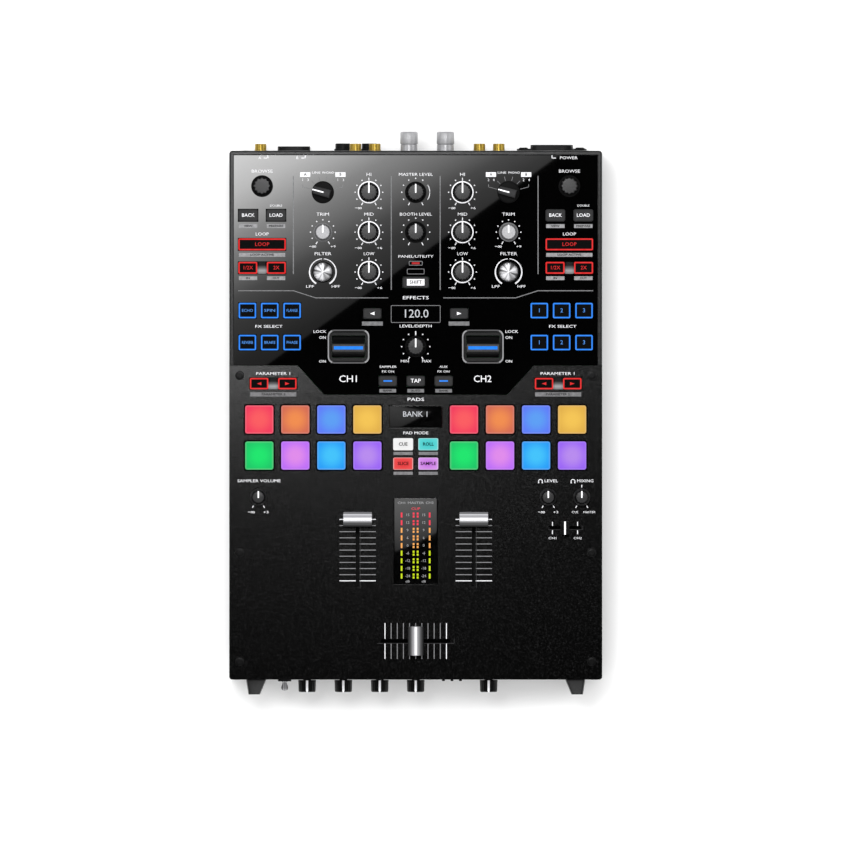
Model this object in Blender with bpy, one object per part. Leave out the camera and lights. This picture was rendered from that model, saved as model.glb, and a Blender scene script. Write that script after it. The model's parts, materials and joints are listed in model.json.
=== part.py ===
"""A two-channel performance mixer, built as separate pieces that fit together.

Metres, +Z up, +Y to the rear, +X to the right. The origin lies on the resting
surface, under the middle of the overall box.
"""

import math

import bmesh
import bpy
from mathutils import Vector

for leftover in list(bpy.data.objects):
    bpy.data.objects.remove(leftover, do_unlink=True)

# Clearances between neighbours
GAP = 0.0003
SWITCH_GAP = 0.0008
KNOB_LIFT = 0.0005

# Main sizes of the case
CASE_W = 0.2670
CASE_D = 0.3787
FOOT_H = 0.0090
BODY_H = 0.0790
HALF_W = CASE_W / 2

# What stands out at the two ends of the case, which is centred with it
GUARD_OUT = 0.0108
GROUND_OUT = 0.0139
BODY_REAR = (CASE_D + GUARD_OUT - GROUND_OUT) / 2
BODY_FRONT = BODY_REAR - CASE_D

# Columns of the top panel, as shares of the case's half width
EQ_SHARE = 0.25094
INPUT_SHARE = 0.49813
SEAM_INNER_SHARE = 0.48839
SEAM_OUTER_SHARE = 0.63146
ARROW_SHARE = 0.23296
PADDLE_SHARE = 0.36030
TAP_SHARE = 0.14981
PAD_INNER_SHARE = 0.25918
PAD_SHARE = 0.19326
FADER_SHARE = 0.31161
EQ_X = EQ_SHARE * HALF_W
INPUT_X = INPUT_SHARE * HALF_W
SEAM_INNER_X = SEAM_INNER_SHARE * HALF_W
SEAM_OUTER_X = SEAM_OUTER_SHARE * HALF_W
ARROW_X = ARROW_SHARE * HALF_W
PADDLE_X = PADDLE_SHARE * HALF_W
TAP_PITCH = TAP_SHARE * HALF_W
PAD_INNER_X = PAD_INNER_SHARE * HALF_W
PAD_PITCH = PAD_SHARE * HALF_W
FADER_X = FADER_SHARE * HALF_W

# Columns that keep their distance from the case's sides, or from each other
SIDE_MARGIN = 0.0235
NAV_SPREAD = 0.0100
PARAMETER_INSET = 0.0080
EFFECT_INSET = 0.0055
EFFECT_PITCH_X = 0.0160
MODE_X = 0.0090
SAMPLER_MARGIN = 0.0209
PHONES_MARGIN = 0.0146
PHONES_PITCH = 0.0240
DECK_X = HALF_W - SIDE_MARGIN
PARAMETER_X = DECK_X - PARAMETER_INSET
EFFECT_X = DECK_X - EFFECT_INSET
SAMPLER_X = SAMPLER_MARGIN - HALF_W
PHONES_MIX_X = HALF_W - PHONES_MARGIN
PHONES_LEVEL_X = PHONES_MIX_X - PHONES_PITCH
CUE_X = PHONES_MIX_X - PHONES_PITCH / 2

# Rows of the top panel, from the rear forwards, as shares of the case's depth
REAR_MARGIN = 0.07869
ROW_PITCH = 0.07539
BROWSE_RISE = 0.01162
NAV_DROP = 0.05519
LOOP_DROP = 0.05492
HALF_DROP = 0.04436
EFFECT_DROP = 0.08080
SHIFT_DROP = 0.01941
ARROW_DROP = 0.05902
PADDLE_DROP = 0.06258
TAP_DROP = 0.06496
SEAM_DROP = 0.02535
SEAM_RISE = 0.05519
PARAMETER_DROP = 0.03486
PAD_DROP = 0.06786
DISPLAY_DROP = 0.04238
MODE_DROP = 0.05189
SMALL_KNOB_DROP = 0.07869
FADER_DROP = 0.04199
METER_DROP = 0.04159
CUE_DROP = 0.01637
CROSSFADER_DROP = 0.11117
EFFECT_PITCH_Y = 0.0229
MODE_PITCH = 0.0139
CHANNEL_TRAVEL = 0.045
CROSSFADER_TRAVEL = 0.045
CUE_TRAVEL = 0.018

TOP_ROW_Y = BODY_REAR - REAR_MARGIN * CASE_D
ROW_Y = [TOP_ROW_Y - row * ROW_PITCH * CASE_D for row in range(3)]
BROWSE_Y = TOP_ROW_Y + BROWSE_RISE * CASE_D
NAV_Y = BROWSE_Y - NAV_DROP * CASE_D
LOOP_Y = NAV_Y - LOOP_DROP * CASE_D
HALF_Y = LOOP_Y - HALF_DROP * CASE_D
EFFECT_Y = HALF_Y - EFFECT_DROP * CASE_D
SHIFT_Y = ROW_Y[2] - SHIFT_DROP * CASE_D
ARROW_Y = SHIFT_Y - ARROW_DROP * CASE_D
PADDLE_Y = ARROW_Y - PADDLE_DROP * CASE_D
TAP_Y = PADDLE_Y - TAP_DROP * CASE_D
SEAM_MID_Y = TAP_Y - SEAM_DROP * CASE_D
SEAM_SIDE_Y = SEAM_MID_Y + SEAM_RISE * CASE_D
PARAMETER_Y = SEAM_SIDE_Y - PARAMETER_DROP * CASE_D
PAD_Y = PARAMETER_Y - PAD_DROP * CASE_D
DISPLAY_Y = SEAM_MID_Y - DISPLAY_DROP * CASE_D
MODE_Y = DISPLAY_Y - MODE_DROP * CASE_D
SMALL_KNOB_Y = PAD_Y - PAD_PITCH - SMALL_KNOB_DROP * CASE_D
FADER_Y = SMALL_KNOB_Y - FADER_DROP * CASE_D
METER_Y = FADER_Y - METER_DROP * CASE_D
CUE_Y = FADER_Y - CUE_DROP * CASE_D
CROSSFADER_Y = FADER_Y - CHANNEL_TRAVEL - CROSSFADER_DROP * CASE_D

# Heights of the stack
SHEET_T = 0.0015
PANEL_T = 0.0020
FLANGE_W = 0.0045
WEB_T = 0.0020
WEB_DROP = 0.0024
KEY_TRAVEL = 0.0010
BOARD_T = 0.0016
POT_H = 0.0055
POT_W = 0.0100
PANEL_TOP = FOOT_H + BODY_H
PANEL_UNDER = PANEL_TOP - PANEL_T
FLANGE_TOP = PANEL_UNDER - GAP
WEB_TOP = FLANGE_TOP - WEB_DROP
WEB_LOW = WEB_TOP - WEB_T
BOARD_TOP = WEB_LOW - KEY_TRAVEL - SWITCH_GAP
POT_TOP = BOARD_TOP + POT_H

# Sheet metal: bends, feet, vents, rim and corners
BEND_R = 0.0020
FOOT_R = 0.0100
FOOT_TAPER = 0.0015
FOOT_INSET_X = 0.0220
FOOT_INSET_Y = 0.0260
VENT_W = 0.0030
VENT_L = 0.0400
VENT_PITCH = 0.0080
VENT_COUNT = 6
RIM_W = 0.0030
RIM_BEVEL = 0.0010
CORNER_R = 0.0020

# Keys and pads
NAV_W = 0.0142
NAV_D = 0.0088
LOOP_W = 0.0342
LOOP_D = 0.0087
EFFECT_W = 0.0127
EFFECT_D = 0.0112
SHIFT_W = 0.0189
SHIFT_D = 0.0081
ARROW_W = 0.0129
ARROW_D = 0.0076
TAP_W = 0.0130
TAP_D = 0.0074
MODE_W = 0.0143
MODE_D = 0.0087
PAD_W = 0.0208
PARAMETER_W = 0.0336
PARAMETER_D = 0.0083
KEY_RISE = 0.0020
PAD_RISE = 0.0026
KEY_CORNER = 0.0010
PAD_CORNER = 0.0016
KEY_BEVEL = 0.0006
WEB_MARGIN = 0.0014
WEB_STRIP = 0.0060
SADDLE_W = 0.0070
SADDLE_DEPTH = 0.0011
ROCKER_DEPTH = 0.0040
ROCKER_TILT = math.radians(3.5)

# Turned controls of the top panel
SHAFT_R = 0.0030
KNOB_SIDES = 14
SMALL_KNOB_SIDES = 12
HOLE_SIDES = 8
SOCKET_SIDES = 10
TERMINAL_SIDES = 12
FLUTE = 0.0005
KNOB_TAPER = 0.0005
KNOB_EDGE = 0.0007
SKIRT_H = 0.0022
EQ_SKIRT_R = 0.0080
EQ_CAP_R = 0.0064
EQ_H = 0.0165
TRIM_SKIRT_R = 0.0069
TRIM_CAP_R = 0.0058
TRIM_H = 0.0150
FILTER_SKIRT_R = 0.0080
FILTER_CAP_R = 0.0064
FILTER_H = 0.0170
BROWSE_SKIRT_R = 0.0078
BROWSE_CAP_R = 0.0062
BROWSE_H = 0.0160
LEVEL_SKIRT_R = 0.0077
LEVEL_CAP_R = 0.0062
LEVEL_H = 0.0165
SMALL_SKIRT_R = 0.0063
SMALL_CAP_R = 0.0048
SMALL_H = 0.0130
SELECTOR_R = 0.0080
SELECTOR_DISC_H = 0.0036
SELECTOR_BAR_W = 0.0046
SELECTOR_H = 0.0140
SELECTOR_REST = math.radians(165)

# Faders
FADER_CAP_W = 0.0205
FADER_CAP_D = 0.0105
FADER_CAP_H = 0.0120
CROSS_CAP_W = 0.0207
CROSS_CAP_D = 0.0112
CUE_CAP_W = 0.0095
CUE_CAP_D = 0.0063
CUE_CAP_H = 0.0070
FADER_CREST = 0.0028
FADER_SHOULDER = 0.42
STEM_T = 0.0022
STEM_L = 0.0040
STEM_DEPTH = 0.0140
FADER_WALL = 0.0055
FADER_DEPTH = 0.0170
FADER_BOARD_EDGE = 0.0060
CROSS_EAR = 0.0080
CROSS_EAR_T = 0.0020

# Windows
METER_W = 0.0310
METER_D = 0.0617
DISPLAY_W = 0.0377
DISPLAY_D = 0.0160
WINDOW_LIP = 0.0010
WINDOW_LIP_T = 0.0012
WINDOW_R = 0.0012

# Effect paddles and their bezels
BEZEL_W = 0.0297
BEZEL_D = 0.0242
BEZEL_R = 0.0045
BEZEL_H = 0.0030
BEZEL_RIM = 0.0016
BEZEL_SHELF = 0.0010
BEZEL_WALL = 0.0010
PADDLE_W = 0.0232
PADDLE_R = 0.0076
PADDLE_AXIS_DROP = 0.0040
PADDLE_H = 0.0195
PADDLE_ROOT = 0.0060
PADDLE_TIP = 0.0057
PADDLE_LEAN = 0.0026
PADDLE_GAP = 0.0004

# Front edge
FRONT_Z = 0.0500
FRONT_KNOB_SHARES = (-0.58352, -0.38876, -0.19326, 0.0, 0.39176)
FRONT_KNOB_X = [share * HALF_W for share in FRONT_KNOB_SHARES]
FRONT_KNOB_R = 0.00645
FRONT_KNOB_H = 0.0093
FRONT_POT_DEPTH = 0.0085
FRONT_SHAFT = 0.0050
TOGGLE_SHARE = -0.70412
TOGGLE_X = TOGGLE_SHARE * HALF_W
TOGGLE_BALL_R = 0.0028
TOGGLE_NECK_R = 0.0014
TOGGLE_TIP_R = 0.0025
TOGGLE_L = 0.0083
TOGGLE_TILT = math.radians(11)
TOGGLE_BUSH_R = 0.0048
TOGGLE_BUSH_H = 0.0016
NUB_SHARE = 0.19476
NUB_PITCH = 0.0061
NUB_X = [NUB_SHARE * HALF_W + step * NUB_PITCH for step in (-1, 0, 1)]
NUB_W = 0.0020
NUB_RISE = 0.0014
NUB_TRAVEL = 0.0024
NUB_BAR_T = 0.0015
NUB_BAR_D = 0.0042
PHONES_SHARE = 0.59925
PHONES_X = PHONES_SHARE * HALF_W
PHONES_MINI_PITCH = 0.0160
PHONES_HOLE_R = 0.0033
PHONES_MINI_R = 0.0018
PHONES_BLOCK = 0.0150
PHONES_DEPTH = 0.0240
GUARD_MARGIN = 0.01905
GUARD_X = HALF_W - GUARD_MARGIN
GUARD_W = 0.0139
GUARD_LEAN = 0.0013
GUARD_TIP_X = GUARD_X + GUARD_LEAN
GUARD_TIP_W = 0.0083
GUARD_TALL = 0.0560
GUARD_TIP_TALL = 0.0460

# Rear edge, with places as seen from behind
RCA_SHARES = (
    (0.83371, 0.046),
    (0.32360, 0.060),
    (0.21948, 0.060),
    (-0.34232, 0.060),
    (-0.44644, 0.060),
)
RCA_COLUMNS = [(share * HALF_W, z) for share, z in RCA_SHARES]
RCA_PITCH = 0.0140
RCA_R = 0.0040
RCA_HOLE_R = 0.00165
RCA_OUT = 0.0052
RCA_BLOCK = 0.0120
RCA_HOLE_DEPTH = 0.0070
JACK_SHARES = (0.39251, 0.25019)
JACK_Z = 0.0260
PHONE_JACKS = [(share * HALF_W, JACK_Z) for share in JACK_SHARES]
JACK_BUSH_R = 0.00525
JACK_HOLE_R = 0.0033
JACK_OUT = 0.0057
JACK_BLOCK = 0.0140
JACK_HOLE_DEPTH = 0.0250
USB_SHARES = (0.79401, 0.59176)
USB_Z = 0.0660
USB_PORTS = [(share * HALF_W, USB_Z) for share in USB_SHARES]
USB_W = 0.0120
USB_H = 0.0110
USB_WALL = 0.0015
USB_HOLE_DEPTH = 0.0090
JACK_BOARD_DEPTH = 0.0360
JACK_BOARD_SHARES = (-0.49813, 0.92135)
JACK_BOARD_SPAN = [share * HALF_W for share in JACK_BOARD_SHARES]
JACK_BOARD_TOP = 0.0750
MIC_SHARE = 0.65468
MIC_X = MIC_SHARE * HALF_W
MIC_Z = 0.0320
MIC_FLANGE_W = 0.0233
MIC_FLANGE_H = 0.0270
MIC_FLANGE_T = 0.0035
MIC_FLANGE_R = 0.0060
MIC_BODY_R = 0.0102
MIC_DEPTH = 0.0220
MIC_RING_R = 0.0094
MIC_CORE_R = 0.0077
MIC_RING_DEPTH = 0.0090
GROUND_SHARES = (0.03596, -0.15955)
GROUND_X = [share * HALF_W for share in GROUND_SHARES]
GROUND_Z = 0.0620
GROUND_R = 0.00625
GROUND_COLLAR_R = 0.0060
GROUND_COLLAR = 0.0043
GROUND_GROOVE_R = 0.0053
GROUND_GROOVE = 0.0007
INLET_SHARE = -0.73109
INLET_X = INLET_SHARE * HALF_W
INLET_Z = 0.0340
INLET_W = 0.0304
INLET_H = 0.0230
INLET_R = 0.0050
INLET_OUT = 0.0046
INLET_EAR_W = 0.0500
INLET_EAR_H = 0.0200
INLET_EAR_T = 0.0018
INLET_WALL = 0.0030
INLET_DEPTH = 0.0170
INLET_BODY_DEPTH = 0.0220
PIN_W = 0.0020
PIN_H = 0.0040
PIN_SPREAD = 0.0070
PIN_OFFSET = 0.0020
PIN_TIP = 0.0056
SUPPLY_SHARE = 0.44944
SUPPLY_W = SUPPLY_SHARE * HALF_W
SUPPLY_TOP = 0.0550
SUPPLY_L = 0.0960
SWITCH_X = INLET_X
SWITCH_Z = 0.0660
SWITCH_W = 0.0180
SWITCH_H = 0.0120
SWITCH_OUT = 0.0012
SWITCH_IN = 0.0060
SWITCH_PIVOT = 0.0030
SWITCH_CROWN = 1.4
SWITCH_TILT = math.radians(7)

# Finishes: colour, roughness, metallic
BLACK_STEEL = ((0.020, 0.020, 0.022), 0.55, 0.2)
GLOSS_BLACK = ((0.010, 0.010, 0.011), 0.06, 0.0)
BLACK_PLASTIC = ((0.018, 0.018, 0.019), 0.45, 0.0)
GREY_PLASTIC = ((0.110, 0.112, 0.118), 0.50, 0.0)
LIGHT_GREY = ((0.420, 0.425, 0.435), 0.45, 0.0)
SILVER = ((0.620, 0.620, 0.630), 0.28, 1.0)
CHROME = ((0.780, 0.785, 0.800), 0.08, 1.0)
GOLD = ((0.800, 0.560, 0.200), 0.25, 1.0)
BOARD_GREEN = ((0.020, 0.085, 0.040), 0.60, 0.0)
SMOKED = ((0.012, 0.012, 0.013), 0.05, 0.0)
PAD_RUBBER = ((0.560, 0.160, 0.480), 0.50, 0.0)

# Turns from a piece's own drawing plane to the front and rear edges
FRONT_TURN = (math.pi / 2, 0.0, 0.0)
REAR_TURN = (math.pi / 2, 0.0, math.pi)
SIDES = {"left": -1, "right": 1}


# Outlines, as lists of flat points

def rectangle(width, depth, corner=0.0, steps=2):
    """A rectangle about the middle, with corners rounded in a few steps."""
    points = []
    for quarter, (right, up) in enumerate(((1, 1), (-1, 1), (-1, -1), (1, -1))):
        x = right * (width / 2 - corner)
        y = up * (depth / 2 - corner)
        if corner == 0.0:
            points.append((x, y))
            continue
        for step in range(steps + 1):
            angle = math.pi / 2 * (quarter + step / steps)
            points.append((x + corner * math.cos(angle), y + corner * math.sin(angle)))
    return points


def circle(radius, sides=KNOB_SIDES, flute=0.0):
    """A circle in straight sides, with every other point drawn in by the flute."""
    points = []
    for side in range(sides):
        reach = radius - flute * (side % 2)
        angle = 2 * math.pi * side / sides
        points.append((reach * math.cos(angle), reach * math.sin(angle)))
    return points


def bore(radius):
    """A plain hole's outline, whose flats clear the radius."""
    return circle(radius / math.cos(math.pi / HOLE_SIDES), HOLE_SIDES)


# Solids, as stacks of rings

def ring(outline, z, x=0.0, y=0.0):
    return [Vector((px + x, py + y, z)) for px, py in outline]


def prism(outline, low, high, x=0.0, y=0.0):
    return [ring(outline, low, x, y), ring(outline, high, x, y)]


def block(x0, x1, y0, y1, z0, z1):
    return prism(rectangle(x1 - x0, y1 - y0), z0, z1, (x0 + x1) / 2, (y0 + y1) / 2)


def turned(profile, x=0.0, y=0.0, sides=KNOB_SIDES, flute=0.0):
    """Rings for a turned form, from (radius, height, fluted) stations."""
    return [ring(circle(r, sides, flute if cut_in else 0.0), z, x, y) for r, z, cut_in in profile]


def swept_x(outline, x0, x1):
    """A (y, z) outline drawn out along X."""
    return [[Vector((x, y, z)) for y, z in outline] for x in (x0, x1)]


def swept_y(outline, y0, y1):
    """An (x, z) outline drawn out along Y."""
    return [[Vector((x, y, z)) for x, z in outline] for y in (y0, y1)]


def mesh_of(name, solids):
    """One mesh with a closed skin over each stack of rings."""
    build = bmesh.new()
    for rings in solids:
        rows = [[build.verts.new(point) for point in points] for points in rings]
        for low, high in zip(rows, rows[1:]):
            for here, start in enumerate(low):
                there = (here + 1) % len(low)
                build.faces.new((start, low[there], high[there], high[here]))
        build.faces.new(reversed(rows[0]))
        build.faces.new(rows[-1])
    bmesh.ops.recalc_face_normals(build, faces=build.faces)
    mesh = bpy.data.meshes.new(name)
    build.to_mesh(mesh)
    build.free()
    return mesh


def finish_material(name, finish):
    colour, roughness, metallic = finish
    material = bpy.data.materials.new(name)
    material.use_nodes = True
    shader = material.node_tree.nodes["Principled BSDF"]
    shader.inputs["Base Color"].default_value = (*colour, 1.0)
    shader.inputs["Roughness"].default_value = roughness
    shader.inputs["Metallic"].default_value = metallic
    return material


def piece(name, solid, finish, location=(0.0, 0.0, 0.0), turn=(0.0, 0.0, 0.0)):
    """One named piece, from one stack of rings."""
    mesh = mesh_of(name, [solid])
    mesh.materials.append(finish_material(name, finish))
    mesh.shade_smooth()
    mesh.set_sharp_from_angle(angle=math.radians(32))
    body = bpy.data.objects.new(name, mesh)
    body.location = location
    body.rotation_euler = turn
    bpy.context.scene.collection.objects.link(body)
    return body


def combine(body, solids, operation):
    """Join solids to a piece, or cut them out of it, in the piece's own frame."""
    tool_name = f"{body.name}_{operation.lower()}_{len(body.modifiers)}"
    tool = bpy.data.objects.new(tool_name, mesh_of(tool_name, solids))
    tool.parent = body
    tool.hide_render = True
    tool.display_type = "WIRE"
    bpy.context.scene.collection.objects.link(tool)
    modifier = body.modifiers.new(operation.title(), "BOOLEAN")
    modifier.operation = operation
    modifier.solver = "EXACT"
    modifier.object = tool


def join(body, solids):
    combine(body, solids, "UNION")


def cut(body, solids):
    combine(body, solids, "DIFFERENCE")


# Where the keys and knobs are, shared by the pieces and by the holes they pass

def deck_keys(side):
    x = side * DECK_X
    nav = [(x + step * NAV_SPREAD, NAV_Y, NAV_W, NAV_D) for step in (-1, 1)]
    return nav + [(x, LOOP_Y, LOOP_W, LOOP_D), (x, HALF_Y, LOOP_W, LOOP_D)]


def effect_keys(side):
    return [
        (side * EFFECT_X + column * EFFECT_PITCH_X, EFFECT_Y - row * EFFECT_PITCH_Y, EFFECT_W, EFFECT_D)
        for row in range(2)
        for column in (-1, 0, 1)
    ]


def centre_keys():
    arrows = [(side * ARROW_X, ARROW_Y, ARROW_W, ARROW_D) for side in (-1, 1)]
    taps = [(column * TAP_PITCH, TAP_Y, TAP_W, TAP_D) for column in (-1, 0, 1)]
    return [(0.0, SHIFT_Y, SHIFT_W, SHIFT_D)] + arrows + taps


def pads(side):
    return [
        (side * (PAD_INNER_X + column * PAD_PITCH), PAD_Y - row * PAD_PITCH, PAD_W, PAD_W)
        for row in range(2)
        for column in range(4)
    ]


def mode_keys():
    return [
        (side * MODE_X, MODE_Y - row * MODE_PITCH, MODE_W, MODE_D)
        for row in range(2)
        for side in (-1, 1)
    ]


def upper_knob_places():
    paired = [(INPUT_X, y) for y in ROW_Y] + [(EQ_X, y) for y in ROW_Y] + [(DECK_X, BROWSE_Y)]
    places = [(side * x, y) for x, y in paired for side in (-1, 1)]
    return places + [(0.0, ROW_Y[0]), (0.0, ROW_Y[1]), (0.0, PADDLE_Y)]


def small_knob_places():
    return [(SAMPLER_X, SMALL_KNOB_Y), (PHONES_LEVEL_X, SMALL_KNOB_Y), (PHONES_MIX_X, SMALL_KNOB_Y)]


def rocker_span():
    """The length that a parameter rocker needs in its hole as it tips."""
    return PARAMETER_W * math.cos(ROCKER_TILT) + 2 * ROCKER_DEPTH * math.sin(ROCKER_TILT)


def key_holes(keys):
    low, high = PANEL_UNDER - PANEL_T, PANEL_TOP + PANEL_T
    return [prism(rectangle(w + 2 * GAP, d + 2 * GAP), low, high, x, y) for x, y, w, d in keys]


def knob_holes(places):
    low, high = PANEL_UNDER - PANEL_T, PANEL_TOP + PANEL_T
    return [prism(bore(SHAFT_R + GAP), low, high, x, y) for x, y in places]


# Chassis

def base_tray():
    """Folded sheet: a floor, two side walls and two top flanges, on four feet."""
    low = FOOT_H
    inner = HALF_W - SHEET_T
    bend = []
    for step in range(4):
        angle = math.pi / 2 * step / 3
        bend.append((HALF_W - BEND_R + BEND_R * math.sin(angle), low + BEND_R - BEND_R * math.cos(angle)))
    right = bend + [
        (HALF_W, FLANGE_TOP),
        (HALF_W - FLANGE_W, FLANGE_TOP),
        (HALF_W - FLANGE_W, FLANGE_TOP - SHEET_T),
        (inner, FLANGE_TOP - SHEET_T),
        (inner, low + SHEET_T),
    ]
    outline = right + [(-x, z) for x, z in reversed(right)]
    front = BODY_FRONT + PANEL_T + GAP
    rear = BODY_REAR - PANEL_T - GAP
    tray = piece("base_tray", swept_y(outline, front, rear), BLACK_STEEL)
    feet = []
    for x in (-HALF_W + FOOT_INSET_X, HALF_W - FOOT_INSET_X):
        for y in (BODY_FRONT + FOOT_INSET_Y, BODY_REAR - FOOT_INSET_Y):
            stations = [
                (FOOT_R - FOOT_TAPER, 0.0, False),
                (FOOT_R, FOOT_H * 0.8, False),
                (FOOT_R, FOOT_H + SHEET_T / 2, False),
            ]
            feet.append(turned(stations, x, y))
    join(tray, feet)
    vents = []
    for x in (-HALF_W / 2, HALF_W / 2):
        for slot in range(VENT_COUNT):
            y = (slot - (VENT_COUNT - 1) / 2) * VENT_PITCH
            vents.append(prism(rectangle(VENT_L, VENT_W), low - SHEET_T, low + 2 * SHEET_T, x, y))
    cut(tray, vents)


def end_plate():
    """Plan of the front or rear plate, its outer corners rounded over its thickness."""
    middle = HALF_W - PANEL_T
    corner = [
        (middle + PANEL_T * math.cos(angle), PANEL_T * math.sin(angle) - PANEL_T)
        for angle in (0.0, math.pi / 4, math.pi / 2)
    ]
    return corner + [(-x, z) for x, z in reversed(corner)]


def front_panel():
    """Front plate with its controls' bodies behind it and two knob guards."""
    plate = swept_y(end_plate(), FOOT_H, FLANGE_TOP)
    panel = piece("front_panel", plate, BLACK_STEEL, (0.0, BODY_FRONT, 0.0), FRONT_TURN)
    middle = -PANEL_T / 2
    bodies = [
        prism(rectangle(POT_W, POT_W), -PANEL_T - FRONT_POT_DEPTH, middle, x, FRONT_Z) for x in FRONT_KNOB_X
    ]
    toggle_size = 2 * (TOGGLE_BALL_R + PANEL_T)
    bodies.append(prism(rectangle(toggle_size, POT_W), -PANEL_T - FRONT_POT_DEPTH, middle, TOGGLE_X, FRONT_Z))
    for x in (PHONES_X, PHONES_X + PHONES_MINI_PITCH):
        outline = rectangle(PHONES_BLOCK, PHONES_BLOCK)
        bodies.append(prism(outline, -PANEL_T - PHONES_DEPTH, middle, x, FRONT_Z))
    join(panel, bodies)
    proud = []
    for side in (-1, 1):
        foot = rectangle(GUARD_W, GUARD_TALL, CORNER_R)
        tip = rectangle(GUARD_TIP_W, GUARD_TIP_TALL, CORNER_R)
        proud.append([
            ring(foot, middle, side * GUARD_X, FRONT_Z),
            ring(foot, PANEL_T / 2, side * GUARD_X, FRONT_Z),
            ring(tip, GUARD_OUT, side * GUARD_TIP_X, FRONT_Z),
        ])
    proud.append(prism(circle(TOGGLE_BUSH_R, 6), middle, TOGGLE_BUSH_H, TOGGLE_X, FRONT_Z))
    join(panel, proud)
    clear = PANEL_T + FRONT_KNOB_H
    holes = [
        prism(bore(SHAFT_R + GAP), -PANEL_T - FRONT_SHAFT - GAP, clear, x, FRONT_Z) for x in FRONT_KNOB_X
    ]
    holes.append(prism(bore(TOGGLE_BALL_R + GAP), -2 * TOGGLE_BALL_R, clear, TOGGLE_X, FRONT_Z))
    for x in NUB_X:
        slot = rectangle(NUB_W + NUB_TRAVEL + 2 * GAP, NUB_W + 2 * GAP)
        holes.append(prism(slot, -2 * PANEL_T, clear, x + NUB_TRAVEL / 2, FRONT_Z))
    deep = -PANEL_T - PHONES_DEPTH + PANEL_T
    holes.append(prism(bore(PHONES_HOLE_R), deep, clear, PHONES_X, FRONT_Z))
    holes.append(prism(bore(PHONES_MINI_R), deep, clear, PHONES_X + PHONES_MINI_PITCH, FRONT_Z))
    cut(panel, holes)


def rear_panel():
    """Rear plate with its cut-outs and two screw terminals for ground leads."""
    plate = swept_y(end_plate(), FOOT_H, FLANGE_TOP)
    panel = piece("rear_panel", plate, BLACK_STEEL, (0.0, BODY_REAR, 0.0), REAR_TURN)
    edge = KNOB_EDGE
    stations = [
        (GROUND_COLLAR_R, -PANEL_T / 2, False),
        (GROUND_COLLAR_R, GROUND_COLLAR, False),
        (GROUND_GROOVE_R, GROUND_COLLAR + GROUND_GROOVE / 2, False),
        (GROUND_R, GROUND_COLLAR + GROUND_GROOVE, True),
        (GROUND_R, GROUND_OUT - edge, True),
        (GROUND_R - edge, GROUND_OUT, False),
    ]
    join(panel, [turned(stations, x, GROUND_Z, TERMINAL_SIDES, FLUTE) for x in GROUND_X])
    low, high = -2 * PANEL_T, PANEL_T
    holes = []
    for x, z in RCA_COLUMNS:
        for row in range(2):
            holes.append(prism(circle(RCA_R + GAP, SOCKET_SIDES), low, high, x, z - row * RCA_PITCH))
    for x, z in PHONE_JACKS:
        holes.append(prism(circle(JACK_BUSH_R + GAP, SOCKET_SIDES), low, high, x, z))
    for x, z in USB_PORTS:
        holes.append(prism(rectangle(USB_W + 2 * GAP, USB_H + 2 * GAP), low, high, x, z))
    holes.append(prism(circle(MIC_BODY_R + GAP), low, high, MIC_X, MIC_Z))
    inlet = rectangle(INLET_W - INLET_WALL + 2 * GAP, INLET_H - INLET_WALL + 2 * GAP)
    holes.append(prism(inlet, low, high, INLET_X, INLET_Z))
    rocker = rectangle(switch_length(), SWITCH_H + 2 * GAP)
    holes.append(prism(rocker, low, high, SWITCH_X, SWITCH_Z))
    cut(panel, holes)


def switch_length():
    """The length that the power rocker needs in its hole as it tips."""
    lever = SWITCH_PIVOT + SWITCH_OUT
    return SWITCH_W * math.cos(SWITCH_TILT) + 2 * lever * math.sin(SWITCH_TILT) + 2 * GAP


# Top panels

def rim_outline(inset):
    """Plan of the three-sided rim, with its outer edge drawn in by inset."""
    outer = HALF_W - inset
    inner = HALF_W - RIM_W
    radius = CORNER_R - inset
    half = [(inner, BODY_REAR - RIM_W), (inner, SEAM_SIDE_Y), (outer, SEAM_SIDE_Y)]
    for angle in (0.0, math.pi / 4, math.pi / 2):
        half.append((HALF_W - CORNER_R + radius * math.cos(angle),
                     BODY_REAR - CORNER_R + radius * math.sin(angle)))
    return half + [(-x, y) for x, y in reversed(half)]


def upper_frame():
    """Bevelled rim round the gloss panel, on the tray's flanges and rear plate."""
    rings = [
        ring(rim_outline(0.0), PANEL_UNDER),
        ring(rim_outline(0.0), PANEL_TOP - RIM_BEVEL),
        ring(rim_outline(RIM_BEVEL), PANEL_TOP),
    ]
    piece("upper_frame", rings, BLACK_STEEL)


def gloss_panel():
    """Upper panel, stepping forwards in the middle, with holes for its controls."""
    edge = HALF_W - RIM_W - GAP
    rear = BODY_REAR - RIM_W - GAP
    half = [(edge, rear), (edge, SEAM_SIDE_Y), (SEAM_OUTER_X, SEAM_SIDE_Y), (SEAM_INNER_X, SEAM_MID_Y)]
    outline = half[::-1] + [(-x, y) for x, y in half]
    panel = piece("gloss_panel", prism(outline, PANEL_UNDER, PANEL_TOP), GLOSS_BLACK)
    keys = deck_keys(-1) + deck_keys(1) + effect_keys(-1) + effect_keys(1) + centre_keys()
    bezels = [(side * PADDLE_X, PADDLE_Y, *bezel_collar()) for side in (-1, 1)]
    cut(panel, key_holes(keys + bezels) + knob_holes(upper_knob_places()))


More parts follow.
